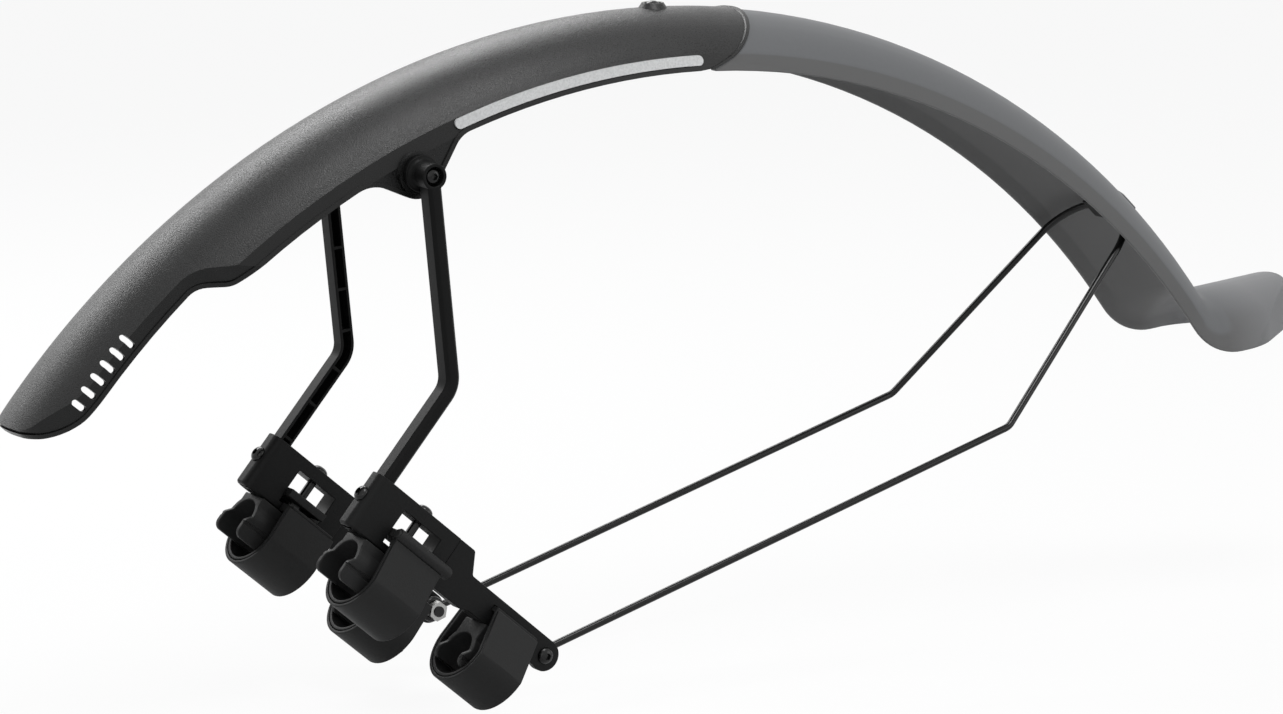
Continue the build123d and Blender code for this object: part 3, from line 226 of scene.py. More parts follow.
# How far each moulded piece's edges are rounded, in metres
EDGE_WIDTHS: dict[str, float] = {
    "bracket": 0.0004,
    "tail": 0.0004,
    "upper_strap": 0.0004,
    "lower_strap": 0.0004,
    "upper_pad": 0.0005,
    "lower_pad": 0.0005,
    "arm": 0.0003,
    "pivot_spacer": 0.0003,
}

# Rounding of the extension's rim, in metres
EXTENSION_EDGE = 0.0006

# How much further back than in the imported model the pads' front ends lie, in metres
SHORTER: dict[str, float] = {"upper_pad": 0.0038, "lower_pad": 0.0070}


@dataclass
class MaterialShop:
    """Builds the shared node groups and one material for each finish."""

    grain: Grain = Grain()
    smoke: SmokyPlastic = SmokyPlastic()
    film: ReflectiveFilm = ReflectiveFilm()
    made: dict[Finish, bpy.types.Material] = field(default_factory=dict)
    surface_group: bpy.types.NodeTree | None = None
    crown_grain_and_shade_group: bpy.types.NodeTree | None = None

    def grained_surface(self) -> bpy.types.NodeTree:
        """Make the group that turns a base colour into a mottled one, with a grain height and a roughness.

        Returns:
            The node group, with inputs Colour, Mottle, Grain Size and Roughness.
        """
        if self.surface_group:
            return self.surface_group
        group = bpy.data.node_groups.new("grained_surface", "ShaderNodeTree")
        face = group.interface
        for name, kind, value in (
            ("Colour", "NodeSocketColor", (0.02, 0.02, 0.02, 1.0)),
            ("Mottle", "NodeSocketFloat", 0.06),
            ("Grain Size", "NodeSocketFloat", 0.001),
            ("Roughness", "NodeSocketFloat", 0.5),
        ):
            socket = face.new_socket(name, in_out="INPUT", socket_type=kind)
            socket.default_value = value
        face.new_socket("Colour", in_out="OUTPUT", socket_type="NodeSocketColor")
        for name in ("Roughness", "Height"):
            face.new_socket(name, in_out="OUTPUT", socket_type="NodeSocketFloat")
        nodes, links = group.nodes, group.links
        start = nodes.new("NodeGroupInput")
        end = nodes.new("NodeGroupOutput")
        place = nodes.new("ShaderNodeTexCoord")
        scale = nodes.new("ShaderNodeMath")
        scale.operation = "DIVIDE"
        scale.inputs[0].default_value = 1.0
        links.new(start.outputs["Grain Size"], scale.inputs[1])
        fine = nodes.new("ShaderNodeTexNoise")
        fine.inputs["Detail"].default_value = self.grain.fine_detail
        fine.inputs["Roughness"].default_value = self.grain.fine_roughness
        links.new(place.outputs["Object"], fine.inputs["Vector"])
        links.new(scale.outputs[0], fine.inputs["Scale"])
        broad = nodes.new("ShaderNodeTexNoise")
        broad.inputs["Scale"].default_value = self.grain.broad_per_metre
        broad.inputs["Detail"].default_value = self.grain.broad_detail
        links.new(place.outputs["Object"], broad.inputs["Vector"])
        spread = nodes.new("ShaderNodeMapRange")
        spread.inputs["From Min"].default_value = self.grain.low
        spread.inputs["From Max"].default_value = self.grain.high
        links.new(fine.outputs["Fac"], spread.inputs["Value"])
        blend = nodes.new("ShaderNodeMix")
        blend.data_type = "FLOAT"
        blend.inputs[0].default_value = self.grain.broad_share
        links.new(spread.outputs["Result"], blend.inputs[2])
        links.new(broad.outputs["Fac"], blend.inputs[3])
        centred = nodes.new("ShaderNodeMath")
        centred.operation = "SUBTRACT"
        centred.inputs[1].default_value = self.grain.middle
        links.new(blend.outputs[0], centred.inputs[0])
        strength = nodes.new("ShaderNodeMath")
        strength.operation = "MULTIPLY"
        links.new(centred.outputs[0], strength.inputs[0])
        links.new(start.outputs["Mottle"], strength.inputs[1])
        factor = nodes.new("ShaderNodeMath")
        factor.operation = "MULTIPLY_ADD"
        factor.inputs[1].default_value = self.grain.tint_reach
        factor.inputs[2].default_value = 1.0
        links.new(strength.outputs[0], factor.inputs[0])
        tint = nodes.new("ShaderNodeVectorMath")
        tint.operation = "SCALE"
        links.new(start.outputs["Colour"], tint.inputs[0])
        links.new(factor.outputs[0], tint.inputs["Scale"])
        links.new(tint.outputs[0], end.inputs["Colour"])
        rough = nodes.new("ShaderNodeMath")
        rough.operation = "MULTIPLY_ADD"
        rough.inputs[1].default_value = self.grain.gloss_reach
        links.new(strength.outputs[0], rough.inputs[0])
        links.new(start.outputs["Roughness"], rough.inputs[2])
        links.new(rough.outputs[0], end.inputs["Roughness"])
        links.new(spread.outputs["Result"], end.inputs["Height"])
        self.surface_group = group
        return group

    def plastic(self, finish: Finish) -> bpy.types.Material:
        """Make a moulded plastic, rubber or metal.

        Args:
            finish: which of the finishes in PLASTICS.

        Returns:
            The material.
        """
        look = PLASTICS[finish]
        material = bpy.data.materials.new(finish.value)
        material.use_nodes = True
        nodes, links = material.node_tree.nodes, material.node_tree.links
        shader = nodes["Principled BSDF"]
        surface = nodes.new("ShaderNodeGroup")
        surface.node_tree = self.grained_surface()
        surface.inputs["Colour"].default_value = (*look.colour, 1.0)
        surface.inputs["Mottle"].default_value = look.mottle
        surface.inputs["Grain Size"].default_value = look.grain_size
        surface.inputs["Roughness"].default_value = look.roughness
        bump = nodes.new("ShaderNodeBump")
        bump.inputs["Strength"].default_value = look.grain_depth
        bump.inputs["Distance"].default_value = look.grain_size * self.grain.depth_share
        links.new(surface.outputs["Colour"], shader.inputs["Base Color"])
        links.new(surface.outputs["Roughness"], shader.inputs["Roughness"])
        links.new(surface.outputs["Height"], bump.inputs["Height"])
        links.new(bump.outputs["Normal"], shader.inputs["Normal"])
        shader.inputs["Metallic"].default_value = look.metallic
        shader.inputs["Specular IOR Level"].default_value = look.specular
        return material

    def crown_grain_and_skirt_shade_mask(self) -> bpy.types.NodeTree:
        """Make the group that tells the guard's grained crown from its smooth skirts.

        A face belongs to the crown where its normal points away from the wheel's axle; the mask sets the
        crown's grain and the painted shade on the side-facing skirts.

        Returns:
            The node group, with the inputs Axle, From and To, and the output Crown.
        """
        if self.crown_grain_and_shade_group:
            return self.crown_grain_and_shade_group
        group = bpy.data.node_groups.new("crown_grain_and_skirt_shade_mask", "ShaderNodeTree")
        face = group.interface
        axle = face.new_socket("Axle", in_out="INPUT", socket_type="NodeSocketVector")
        axle.default_value = AXLE
        for name, value in (("From", 0.33), ("To", 0.47)):
            face.new_socket(name, in_out="INPUT", socket_type="NodeSocketFloat").default_value = value
        face.new_socket("Crown", in_out="OUTPUT", socket_type="NodeSocketFloat")
        nodes, links = group.nodes, group.links
        start = nodes.new("NodeGroupInput")
        end = nodes.new("NodeGroupOutput")
        place = nodes.new("ShaderNodeTexCoord")
        away = nodes.new("ShaderNodeVectorMath")
        away.operation = "SUBTRACT"
        links.new(place.outputs["Object"], away.inputs[0])
        links.new(start.outputs["Axle"], away.inputs[1])
        flat = nodes.new("ShaderNodeVectorMath")
        flat.operation = "MULTIPLY"
        flat.inputs[1].default_value = (1.0, 0.0, 1.0)
        links.new(away.outputs[0], flat.inputs[0])
        radial = nodes.new("ShaderNodeVectorMath")
        radial.operation = "NORMALIZE"
        links.new(flat.outputs[0], radial.inputs[0])
        surface = nodes.new("ShaderNodeNewGeometry")
        facing = nodes.new("ShaderNodeVectorMath")
        facing.operation = "DOT_PRODUCT"
        links.new(surface.outputs["Normal"], facing.inputs[0])
        links.new(radial.outputs[0], facing.inputs[1])
        split = nodes.new("ShaderNodeMapRange")
        split.interpolation_type = "SMOOTHSTEP"
        links.new(facing.outputs["Value"], split.inputs["Value"])
        links.new(start.outputs["From"], split.inputs["From Min"])
        links.new(start.outputs["To"], split.inputs["From Max"])
        links.new(split.outputs["Result"], end.inputs["Crown"])
        self.crown_grain_and_shade_group = group
        return group

    def blade(self) -> bpy.types.Material:
        """Make the blade's plastic: a grained dark grey crown over smooth black skirts, darkened further with
        painted shade.

        Returns:
            The material.
        """
        material = self.plastic(Finish.BLADE)
        nodes, links = material.node_tree.nodes, material.node_tree.links
        shader = nodes["Principled BSDF"]
        crown_and_skirt_shade_mask = nodes.new("ShaderNodeGroup")
        crown_and_skirt_shade_mask.node_tree = self.crown_grain_and_skirt_shade_mask()
        colour = shader.inputs["Base Color"].links[0].from_socket
        grain = nodes["Bump"]
        # Painted shade: the side-facing skirts get a darker colour than the crown
        mix = nodes.new("ShaderNodeMix")
        mix.data_type = "RGBA"
        mix.inputs[6].default_value = (*SKIRT_COLOUR_WITH_PAINTED_SHADE, 1.0)
        links.new(crown_and_skirt_shade_mask.outputs["Crown"], mix.inputs[0])
        links.new(colour, mix.inputs[7])
        links.new(mix.outputs[2], shader.inputs["Base Color"])
        depth = nodes.new("ShaderNodeMath")
        depth.operation = "MULTIPLY"
        links.new(grain.inputs["Height"].links[0].from_socket, depth.inputs[0])
        links.new(crown_and_skirt_shade_mask.outputs["Crown"], depth.inputs[1])
        links.new(depth.outputs[0], grain.inputs["Height"])
        return material

    def smoky(self) -> bpy.types.Material:
        """Make the extension's smoky, slightly see-through grey, with painted shade on the skirts and painted
        light on the flap.

        Returns:
            The material.
        """
        material = bpy.data.materials.new(Finish.EXTENSION.value)
        material.use_nodes = True
        nodes, links = material.node_tree.nodes, material.node_tree.links
        shader = nodes["Principled BSDF"]
        surface = nodes.new("ShaderNodeGroup")
        surface.node_tree = self.grained_surface()
        surface.inputs["Colour"].default_value = (*self.smoke.crown, 1.0)
        surface.inputs["Mottle"].default_value = self.smoke.mottle
        surface.inputs["Grain Size"].default_value = self.smoke.grain_size
        surface.inputs["Roughness"].default_value = self.smoke.roughness
        crown_and_skirt_shade_mask = nodes.new("ShaderNodeGroup")
        crown_and_skirt_shade_mask.node_tree = self.crown_grain_and_skirt_shade_mask()
        # Painted shade: the side-facing skirts get a darker grey than the crown
        mix = nodes.new("ShaderNodeMix")
        mix.data_type = "RGBA"
        mix.inputs[6].default_value = (*self.smoke.skirt_painted_shade, 1.0)
        links.new(crown_and_skirt_shade_mask.outputs["Crown"], mix.inputs[0])
        links.new(surface.outputs["Colour"], mix.inputs[7])
        # Painted light: behind a place along the part the flap's colour turns paler
        where = nodes.new("ShaderNodeTexCoord")
        parts = nodes.new("ShaderNodeSeparateXYZ")
        reach = nodes.new("ShaderNodeMapRange")
        reach.inputs["From Min"].default_value = self.smoke.painted_light_from
        reach.inputs["From Max"].default_value = self.smoke.painted_light_to
        flap_painted_light_mix = nodes.new("ShaderNodeMix")
        flap_painted_light_mix.data_type = "RGBA"
        flap_painted_light_mix.inputs[7].default_value = (*self.smoke.flap, 1.0)
        links.new(where.outputs["Object"], parts.inputs["Vector"])
        links.new(parts.outputs["X"], reach.inputs["Value"])
        links.new(reach.outputs["Result"], flap_painted_light_mix.inputs[0])
        links.new(mix.outputs[2], flap_painted_light_mix.inputs[6])
        links.new(flap_painted_light_mix.outputs[2], shader.inputs["Base Color"])
        links.new(surface.outputs["Roughness"], shader.inputs["Roughness"])
        shader.inputs["Alpha"].default_value = self.smoke.opacity
        shader.inputs["Specular IOR Level"].default_value = self.smoke.specular
        return material

    def reflector(self) -> bpy.types.Material:
        """Make the reflective strip's pale, speckled film.

        Returns:
            The material.
        """
        material = bpy.data.materials.new(Finish.REFLECTOR.value)
        material.use_nodes = True
        nodes, links = material.node_tree.nodes, material.node_tree.links
        shader = nodes["Principled BSDF"]
        place = nodes.new("ShaderNodeTexCoord")
        cells = nodes.new("ShaderNodeTexVoronoi")
        cells.inputs["Scale"].default_value = self.film.cells_per_metre
        links.new(place.outputs["Object"], cells.inputs["Vector"])
        ramp = nodes.new("ShaderNodeValToRGB")
        first, last = ramp.color_ramp.elements
        first.color, first.position = (*self.film.darker, 1.0), self.film.darker_until
        last.color, last.position = (*self.film.paler, 1.0), self.film.paler_from
        links.new(cells.outputs["Color"], ramp.inputs["Fac"])
        links.new(ramp.outputs["Color"], shader.inputs["Base Color"])
        shader.inputs["Roughness"].default_value = self.film.roughness
        return material

    def get(self, finish: Finish) -> bpy.types.Material:
        """Return the material of a finish, made on first use.

        Args:
            finish: the finish.

        Returns:
            Its material.
        """
        if finish not in self.made:
            if finish is Finish.BLADE:
                self.made[finish] = self.blade()
            elif finish is Finish.EXTENSION:
                self.made[finish] = self.smoky()
            elif finish is Finish.REFLECTOR:
                self.made[finish] = self.reflector()
            else:
                self.made[finish] = self.plastic(finish)
        return self.made[finish]


def finish_of(node: str) -> Finish:
    """Return the finish of a node, by its name without its side."""
    return NODE_FINISH[node.removesuffix("_left").removesuffix("_right")]


def add(tree: bpy.types.NodeTree, kind: str, **values: object) -> bpy.types.Node:
    """Add a node to a tree.

    Args:
        tree: the tree.
        kind: the node's type.
        values: properties of the node, or values of its inputs where it has no such property.

    Returns:
        The node.
    """
    node = tree.nodes.new(kind)
    for name, value in values.items():
        if hasattr(node, name):
            setattr(node, name, value)
        else:
            node.inputs[name.replace("_", " ").title()].default_value = value
    return node


def named(tree: bpy.types.NodeTree, name: str, kind: str = "FLOAT") -> bpy.types.NodeSocket:
    """Read a named attribute in a Geometry Nodes tree.

    Args:
        tree: the tree.
        name: the attribute's name.
        kind: its data type.

    Returns:
        The socket that puts it out.
    """
    node = add(tree, "GeometryNodeInputNamedAttribute", data_type=kind)
    node.inputs["Name"].default_value = name
    return node.outputs["Attribute"]


def new_tree(name: str, sizes: dict[str, float]) -> tuple[bpy.types.NodeTree, bpy.types.Node]:
    """Make a Geometry Nodes tree with a geometry input, named sizes, a material and a geometry output.

    Args:
        name: the tree's name.
        sizes: its number inputs with their defaults; a whole number makes an integer input.

    Returns:
        The tree and the node with its inputs.
    """
    tree = bpy.data.node_groups.new(name, "GeometryNodeTree")
    face = tree.interface
    face.new_socket("Geometry", in_out="INPUT", socket_type="NodeSocketGeometry")
    for label, value in sizes.items():
        kind = "NodeSocketInt" if isinstance(value, int) else "NodeSocketFloat"
        face.new_socket(label, in_out="INPUT", socket_type=kind).default_value = value
    face.new_socket("Material", in_out="INPUT", socket_type="NodeSocketMaterial")
    face.new_socket("Geometry", in_out="OUTPUT", socket_type="NodeSocketGeometry")
    return tree, tree.nodes.new("NodeGroupInput")


def finish_tree(tree: bpy.types.NodeTree, start: bpy.types.Node, made: bpy.types.NodeSocket) -> None:
    """End a tree with real geometry and the material.

    Args:
        tree: the tree.
        start: the node with its inputs.
        made: the socket that puts out what it made.
    """
    real = add(tree, "GeometryNodeRealizeInstances")
    dress = add(tree, "GeometryNodeSetMaterial")
    end = tree.nodes.new("NodeGroupOutput")
    tree.links.new(made, real.inputs["Geometry"])
    tree.links.new(real.outputs["Geometry"], dress.inputs["Geometry"])
    tree.links.new(start.outputs["Material"], dress.inputs["Material"])
    tree.links.new(dress.outputs["Geometry"], end.inputs["Geometry"])


def grow(name: str, host: bpy.types.Mesh, tree: bpy.types.NodeTree,
         values: dict[str, object]) -> bpy.types.Object:
    """Run a Geometry Nodes tree on a host mesh and keep the result as a plain mesh.

    Args:
        name: the new piece's name.
        host: the mesh that the tree starts from.
        tree: the tree.
        values: its inputs, by name.

    Returns:
        The piece, without a modifier.
    """
    piece = bpy.data.objects.new(name, host)
    bpy.context.scene.collection.objects.link(piece)
    modifier = piece.modifiers.new("maker", "NODES")
    modifier.node_group = tree
    for item in tree.interface.items_tree:
        if item.item_type == "SOCKET" and item.in_out == "INPUT" and item.name in values:
            modifier[item.identifier] = values[item.name]
    bpy.context.view_layer.update()
    shaped = bpy.data.meshes.new_from_object(piece.evaluated_get(bpy.context.evaluated_depsgraph_get()))
    piece.modifiers.clear()
    piece.data = shaped
    shaped.name = name
    shaped.shade_smooth()
    shaped.set_sharp_from_angle(angle=SHARP_ANGLE)
    return piece


def host_mesh(name: str, points: list[Vector], edges: list[tuple[int, int]],
              numbers: dict[str, list[float]], vectors: dict[str, list[Vector]]) -> bpy.types.Mesh:
    """Make a mesh of points and edges that carries named values for a tree.

    Args:
        name: the mesh's name.
        points: its points.
        edges: pairs of the points' numbers.
        numbers: for each attribute's name, one number a point.
        vectors: for each attribute's name, one vector a point.

    Returns:
        The mesh.
    """
    mesh = bpy.data.meshes.new(name)
    mesh.from_pydata([tuple(point) for point in points], edges, [])
    for label, values in numbers.items():
        mesh.attributes.new(label, "FLOAT", "POINT").data.foreach_set("value", values)
    for label, values in vectors.items():
        flat = [part for value in values for part in value]
        mesh.attributes.new(label, "FLOAT_VECTOR", "POINT").data.foreach_set("vector", flat)
    return mesh


@dataclass(frozen=True)
class Fastener:
    """One screw: its node, the way its head faces, its head's height and its shank's radius."""

    node: str
    out: Vector
    head_height: float
    shank_radius: float


@dataclass
class Screws:
    """Domed screws with hexagon sockets, one mesh for each body that carries some.

    The socket's radius and depth are shares of the head's radius and height.
    """

    nodes: dict[str, bpy.types.Object]
    shop: MaterialShop
    head_sides: int = 40
    head_rings: int = 20
    shank_sides: int = 24
    socket_sides: int = 6
    socket_radius: float = 0.44
    socket_depth: float = 0.62
    strap_head: float = 0.0024
    strap_shank: float = 0.002
    joint_head: float = 0.0023
    joint_shank: float = 0.0025
    crown_head: float = 0.002

    def tree(self) -> bpy.types.NodeTree:
        """Make the tree that sets a head and a shank on each point of the host.

        Returns:
            The tree, with the inputs Head Sides, Socket Radius and Socket Depth.
        """
        sizes = {
            "Head Sides": self.head_sides,
            "Socket Radius": self.socket_radius,
            "Socket Depth": self.socket_depth,
        }
        tree, start = new_tree("domed_screws", sizes)
        links = tree.links
        dome = add(tree, "GeometryNodeMeshUVSphere", radius=1.0)
        dome.inputs["Rings"].default_value = self.head_rings
        links.new(start.outputs["Head Sides"], dome.inputs["Segments"])
        below = add(tree, "GeometryNodeMeshCube")
        below.inputs["Size"].default_value = (3.0, 3.0, 1.0)
        lower = add(tree, "GeometryNodeTransform")
        lower.inputs["Translation"].default_value = (0.0, 0.0, -0.5)
        links.new(below.outputs["Mesh"], lower.inputs["Geometry"])
        socket = add(tree, "GeometryNodeMeshCylinder", vertices=self.socket_sides)
        links.new(start.outputs["Socket Radius"], socket.inputs["Radius"])
        deep = add(tree, "ShaderNodeMath", operation="MULTIPLY")
        deep.inputs[1].default_value = 2.0
        links.new(start.outputs["Socket Depth"], deep.inputs[0])
        links.new(deep.outputs[0], socket.inputs["Depth"])
        top = add(tree, "GeometryNodeTransform")
        top.inputs["Translation"].default_value = (0.0, 0.0, 1.0)
        links.new(socket.outputs["Mesh"], top.inputs["Geometry"])
        cut = add(tree, "GeometryNodeMeshBoolean", operation="DIFFERENCE")
        links.new(dome.outputs["Mesh"], cut.inputs["Mesh 1"])
        links.new(lower.outputs["Geometry"], cut.inputs["Mesh 2"])
        links.new(top.outputs["Geometry"], cut.inputs["Mesh 2"])
        rod = add(tree, "GeometryNodeMeshCylinder", vertices=self.shank_sides, radius=1.0, depth=1.0)
        hang = add(tree, "GeometryNodeTransform")
        hang.inputs["Translation"].default_value = (0.0, 0.0, -0.5)
        links.new(rod.outputs["Mesh"], hang.inputs["Geometry"])
        turn = add(tree, "FunctionNodeAlignEulerToVector", axis="Z")
        links.new(named(tree, "out", "FLOAT_VECTOR"), turn.inputs["Vector"])
        joined = add(tree, "GeometryNodeJoinGeometry")
        for shape, wide, tall in ((cut.outputs["Mesh"], "head_radius", "head_height"),
                                  (hang.outputs["Geometry"], "shank_radius", "shank_length")):
            size = add(tree, "ShaderNodeCombineXYZ")
            wide_socket = named(tree, wide)
            links.new(wide_socket, size.inputs["X"])
            links.new(wide_socket, size.inputs["Y"])
            links.new(named(tree, tall), size.inputs["Z"])
            put = add(tree, "GeometryNodeInstanceOnPoints")
            links.new(start.outputs["Geometry"], put.inputs["Points"])
            links.new(shape, put.inputs["Instance"])
            links.new(turn.outputs["Rotation"], put.inputs["Rotation"])
            links.new(size.outputs["Vector"], put.inputs["Scale"])
            links.new(put.outputs["Instances"], joined.inputs["Geometry"])
        finish_tree(tree, start, joined.outputs["Geometry"])
        return tree

    def measure(self, fastener: Fastener) -> tuple[Vector, float, float]:
        """Read a screw's place and size from its node.

        Args:
            fastener: the screw.

        Returns:
            The middle of its seat, its head's radius and its shank's length.
        """
        out = fastener.out
        side = out.orthogonal().normalized()
        other = out.cross(side)
        spots = [vertex.co for vertex in self.nodes[fastener.node].data.vertices]
        spans = [[spot.dot(way) for spot in spots] for way in (out, side, other)]
        highs, lows = [max(span) for span in spans], [min(span) for span in spans]
        seat = highs[0] - fastener.head_height
        middle = out * seat + side * (highs[1] + lows[1]) / 2 + other * (highs[2] + lows[2]) / 2
        return middle, (highs[1] - lows[1]) / 2, seat - lows[0]

    def build(self, name: str, body: str, fasteners: list[Fastener], tree: bpy.types.NodeTree) -> None:
        """Make all screws of one body as one piece.

        Args:
            name: the piece's name.
            body: the body that carries them.
            fasteners: the screws.
            tree: the tree that makes them.
        """
        found = [self.measure(fastener) for fastener in fasteners]
        numbers = {
            "head_radius": [radius for _, radius, _ in found],
            "head_height": [fastener.head_height for fastener in fasteners],
            "shank_radius": [fastener.shank_radius for fastener in fasteners],
            "shank_length": [length for _, _, length in found],
        }
        host = host_mesh(name, [middle for middle, _, _ in found], [], numbers,
                         {"out": [fastener.out for fastener in fasteners]})
        values = {"Head Sides": self.head_sides, "Material": self.shop.get(Finish.SCREW)}
        piece = grow(name, host, tree, values)
        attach(piece, body)
        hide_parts(*[fastener.node for fastener in fasteners])
        LOG.info("%s: %d screws, %d faces", name, len(fasteners), len(piece.data.polygons))

    def make(self) -> None:
        """Make the screws of the clamps and of the blade."""
        tree = self.tree()
        clamps, blade = [], []
        for side, way in (("left", -1.0), ("right", 1.0)):
            outward = Vector((0.0, way, 0.0))
            clamps.append(Fastener(f"set_screw_{side}", -ALONG_STAY, self.strap_head, self.strap_shank))
            clamps.append(Fastener(f"tension_screw_{side}", OFF_STAY, self.strap_head, self.strap_shank))
            clamps.append(Fastener(f"eye_screw_{side}", outward, self.joint_head, self.joint_shank))
            blade.append(Fastener(f"pivot_screw_{side}", outward, self.joint_head, self.joint_shank))
        blade.append(Fastener("crown_screw", CROWN_UP, self.crown_head, self.joint_shank))
        self.build("clamp_screws", "clamps", clamps, tree)
        self.build("blade_screws", "blade", blade, tree)


@dataclass
class StayWire:
    """The stay: one wire from eye to eye, with two bends on each side and an arch between them."""

    shop: MaterialShop
    radius: float = 0.0017
    eye_radius: float = 0.00426
    half_width: float = 0.0466
    eye: tuple[float, float] = (-0.08675, 0.11445)
    bend: tuple[float, float] = (0.1689, 0.1873)
    arch_top: tuple[float, float] = (0.2615, 0.27847)
    bend_radius: float = 0.009
    arch_radius: float = 0.030
    sides: int = 20
    bend_steps: int = 20
    eye_steps: int = 40

    def tree(self) -> bpy.types.NodeTree:
        """Make the tree that rounds the host's corners, sweeps the wire along it and sets the eyes.

        Returns:
            The tree, with the inputs Wire Radius, Eye Radius and Sides.
        """
        sizes = {"Wire Radius": self.radius, "Eye Radius": self.eye_radius, "Sides": self.sides}
        tree, start = new_tree("bent_wire", sizes)
        links = tree.links
        run = add(tree, "GeometryNodeMeshToCurve")
        links.new(start.outputs["Geometry"], run.inputs["Mesh"])
        rounded = add(tree, "GeometryNodeFilletCurve", mode="POLY")
        rounded.inputs["Count"].default_value = self.bend_steps
        rounded.inputs["Limit Radius"].default_value = True
        links.new(run.outputs["Curve"], rounded.inputs["Curve"])
        links.new(named(tree, "bend"), rounded.inputs["Radius"])
        section = add(tree, "GeometryNodeCurvePrimitiveCircle")
        links.new(start.outputs["Sides"], section.inputs["Resolution"])
        links.new(start.outputs["Wire Radius"], section.inputs["Radius"])
        loop = add(tree, "GeometryNodeCurvePrimitiveCircle")
        loop.inputs["Resolution"].default_value = self.eye_steps
        links.new(start.outputs["Eye Radius"], loop.inputs["Radius"])
        swept = []
        for curve in (rounded, loop):
            sweep = add(tree, "GeometryNodeCurveToMesh")
            sweep.inputs["Fill Caps"].default_value = True
            links.new(curve.outputs["Curve"], sweep.inputs["Curve"])
            links.new(section.outputs["Curve"], sweep.inputs["Profile Curve"])
            swept.append(sweep.outputs["Mesh"])
        place = add(tree, "GeometryNodeSetPosition")
        links.new(start.outputs["Geometry"], place.inputs["Geometry"])
        links.new(named(tree, "centre", "FLOAT_VECTOR"), place.inputs["Position"])
        eyes = add(tree, "GeometryNodeInstanceOnPoints")
        eyes.inputs["Rotation"].default_value = (math.pi / 2, 0.0, 0.0)
        links.new(place.outputs["Geometry"], eyes.inputs["Points"])
        links.new(named(tree, "eye", "BOOLEAN"), eyes.inputs["Selection"])
        links.new(swept[1], eyes.inputs["Instance"])
        joined = add(tree, "GeometryNodeJoinGeometry")
        links.new(swept[0], joined.inputs["Geometry"])
        links.new(eyes.outputs["Instances"], joined.inputs["Geometry"])
        finish_tree(tree, start, joined.outputs["Geometry"])
        return tree

    def place(self, spot: Sequence[float], across: float) -> Vector:
        """Turn a place beside the axle, seen from the side, into a point."""
        return AXLE + Vector((spot[0], across, spot[1]))

    def route(self) -> tuple[list[Vector], list[float], list[Vector]]:
        """Lay out the wire's corners from the left eye to the right one.

        Returns:
            The corners, the bend radius at each, and the eyes' middles at the ends.
        """
        foot, bend, top = Vector(self.eye), Vector(self.bend), Vector(self.arch_top)
        start = foot + (bend - foot).normalized() * self.eye_radius
        rise = (top - bend).length
        reach = math.hypot(self.half_width, rise - self.arch_radius)
        swing = math.acos(self.arch_radius / reach) + math.atan2(self.arch_radius - rise, self.half_width)
        touch_across = self.arch_radius * math.cos(swing)
        touch_up = rise - self.arch_radius + self.arch_radius * math.sin(swing)
        shoulder = self.half_width + (touch_across - self.half_width) * rise / touch_up
        near = [
            self.place(start, -self.half_width),
            self.place(self.bend, -self.half_width),
            self.place(self.arch_top, -shoulder),
        ]
        corners = near + [Vector((point.x, -point.y, point.z)) for point in reversed(near)]
        bends = [0.0, self.bend_radius, self.arch_radius, self.arch_radius, self.bend_radius, 0.0]
        centres = corners.copy()
        centres[0] = self.place(self.eye, -self.half_width)
        centres[-1] = self.place(self.eye, self.half_width)
        return corners, bends, centres

    def make(self) -> None:
        """Make the wire."""
        points, bends, centres = self.route()
        edges = [(index, index + 1) for index in range(len(points) - 1)]
        host = host_mesh("stay_wire_swept", points, edges, {"bend": bends}, {"centre": centres})
        ends = [index in (0, len(points) - 1) for index in range(len(points))]
        host.attributes.new("eye", "BOOLEAN", "POINT").data.foreach_set("value", ends)
        values = {"Wire Radius": self.radius, "Eye Radius": self.eye_radius, "Sides": self.sides,
                  "Material": self.shop.get(Finish.WIRE)}
        piece = grow("stay_wire_swept", host, self.tree(), values)
        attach(piece, "stay")
        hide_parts("stay_wire")
        LOG.info("stay wire: %d faces", len(piece.data.polygons))


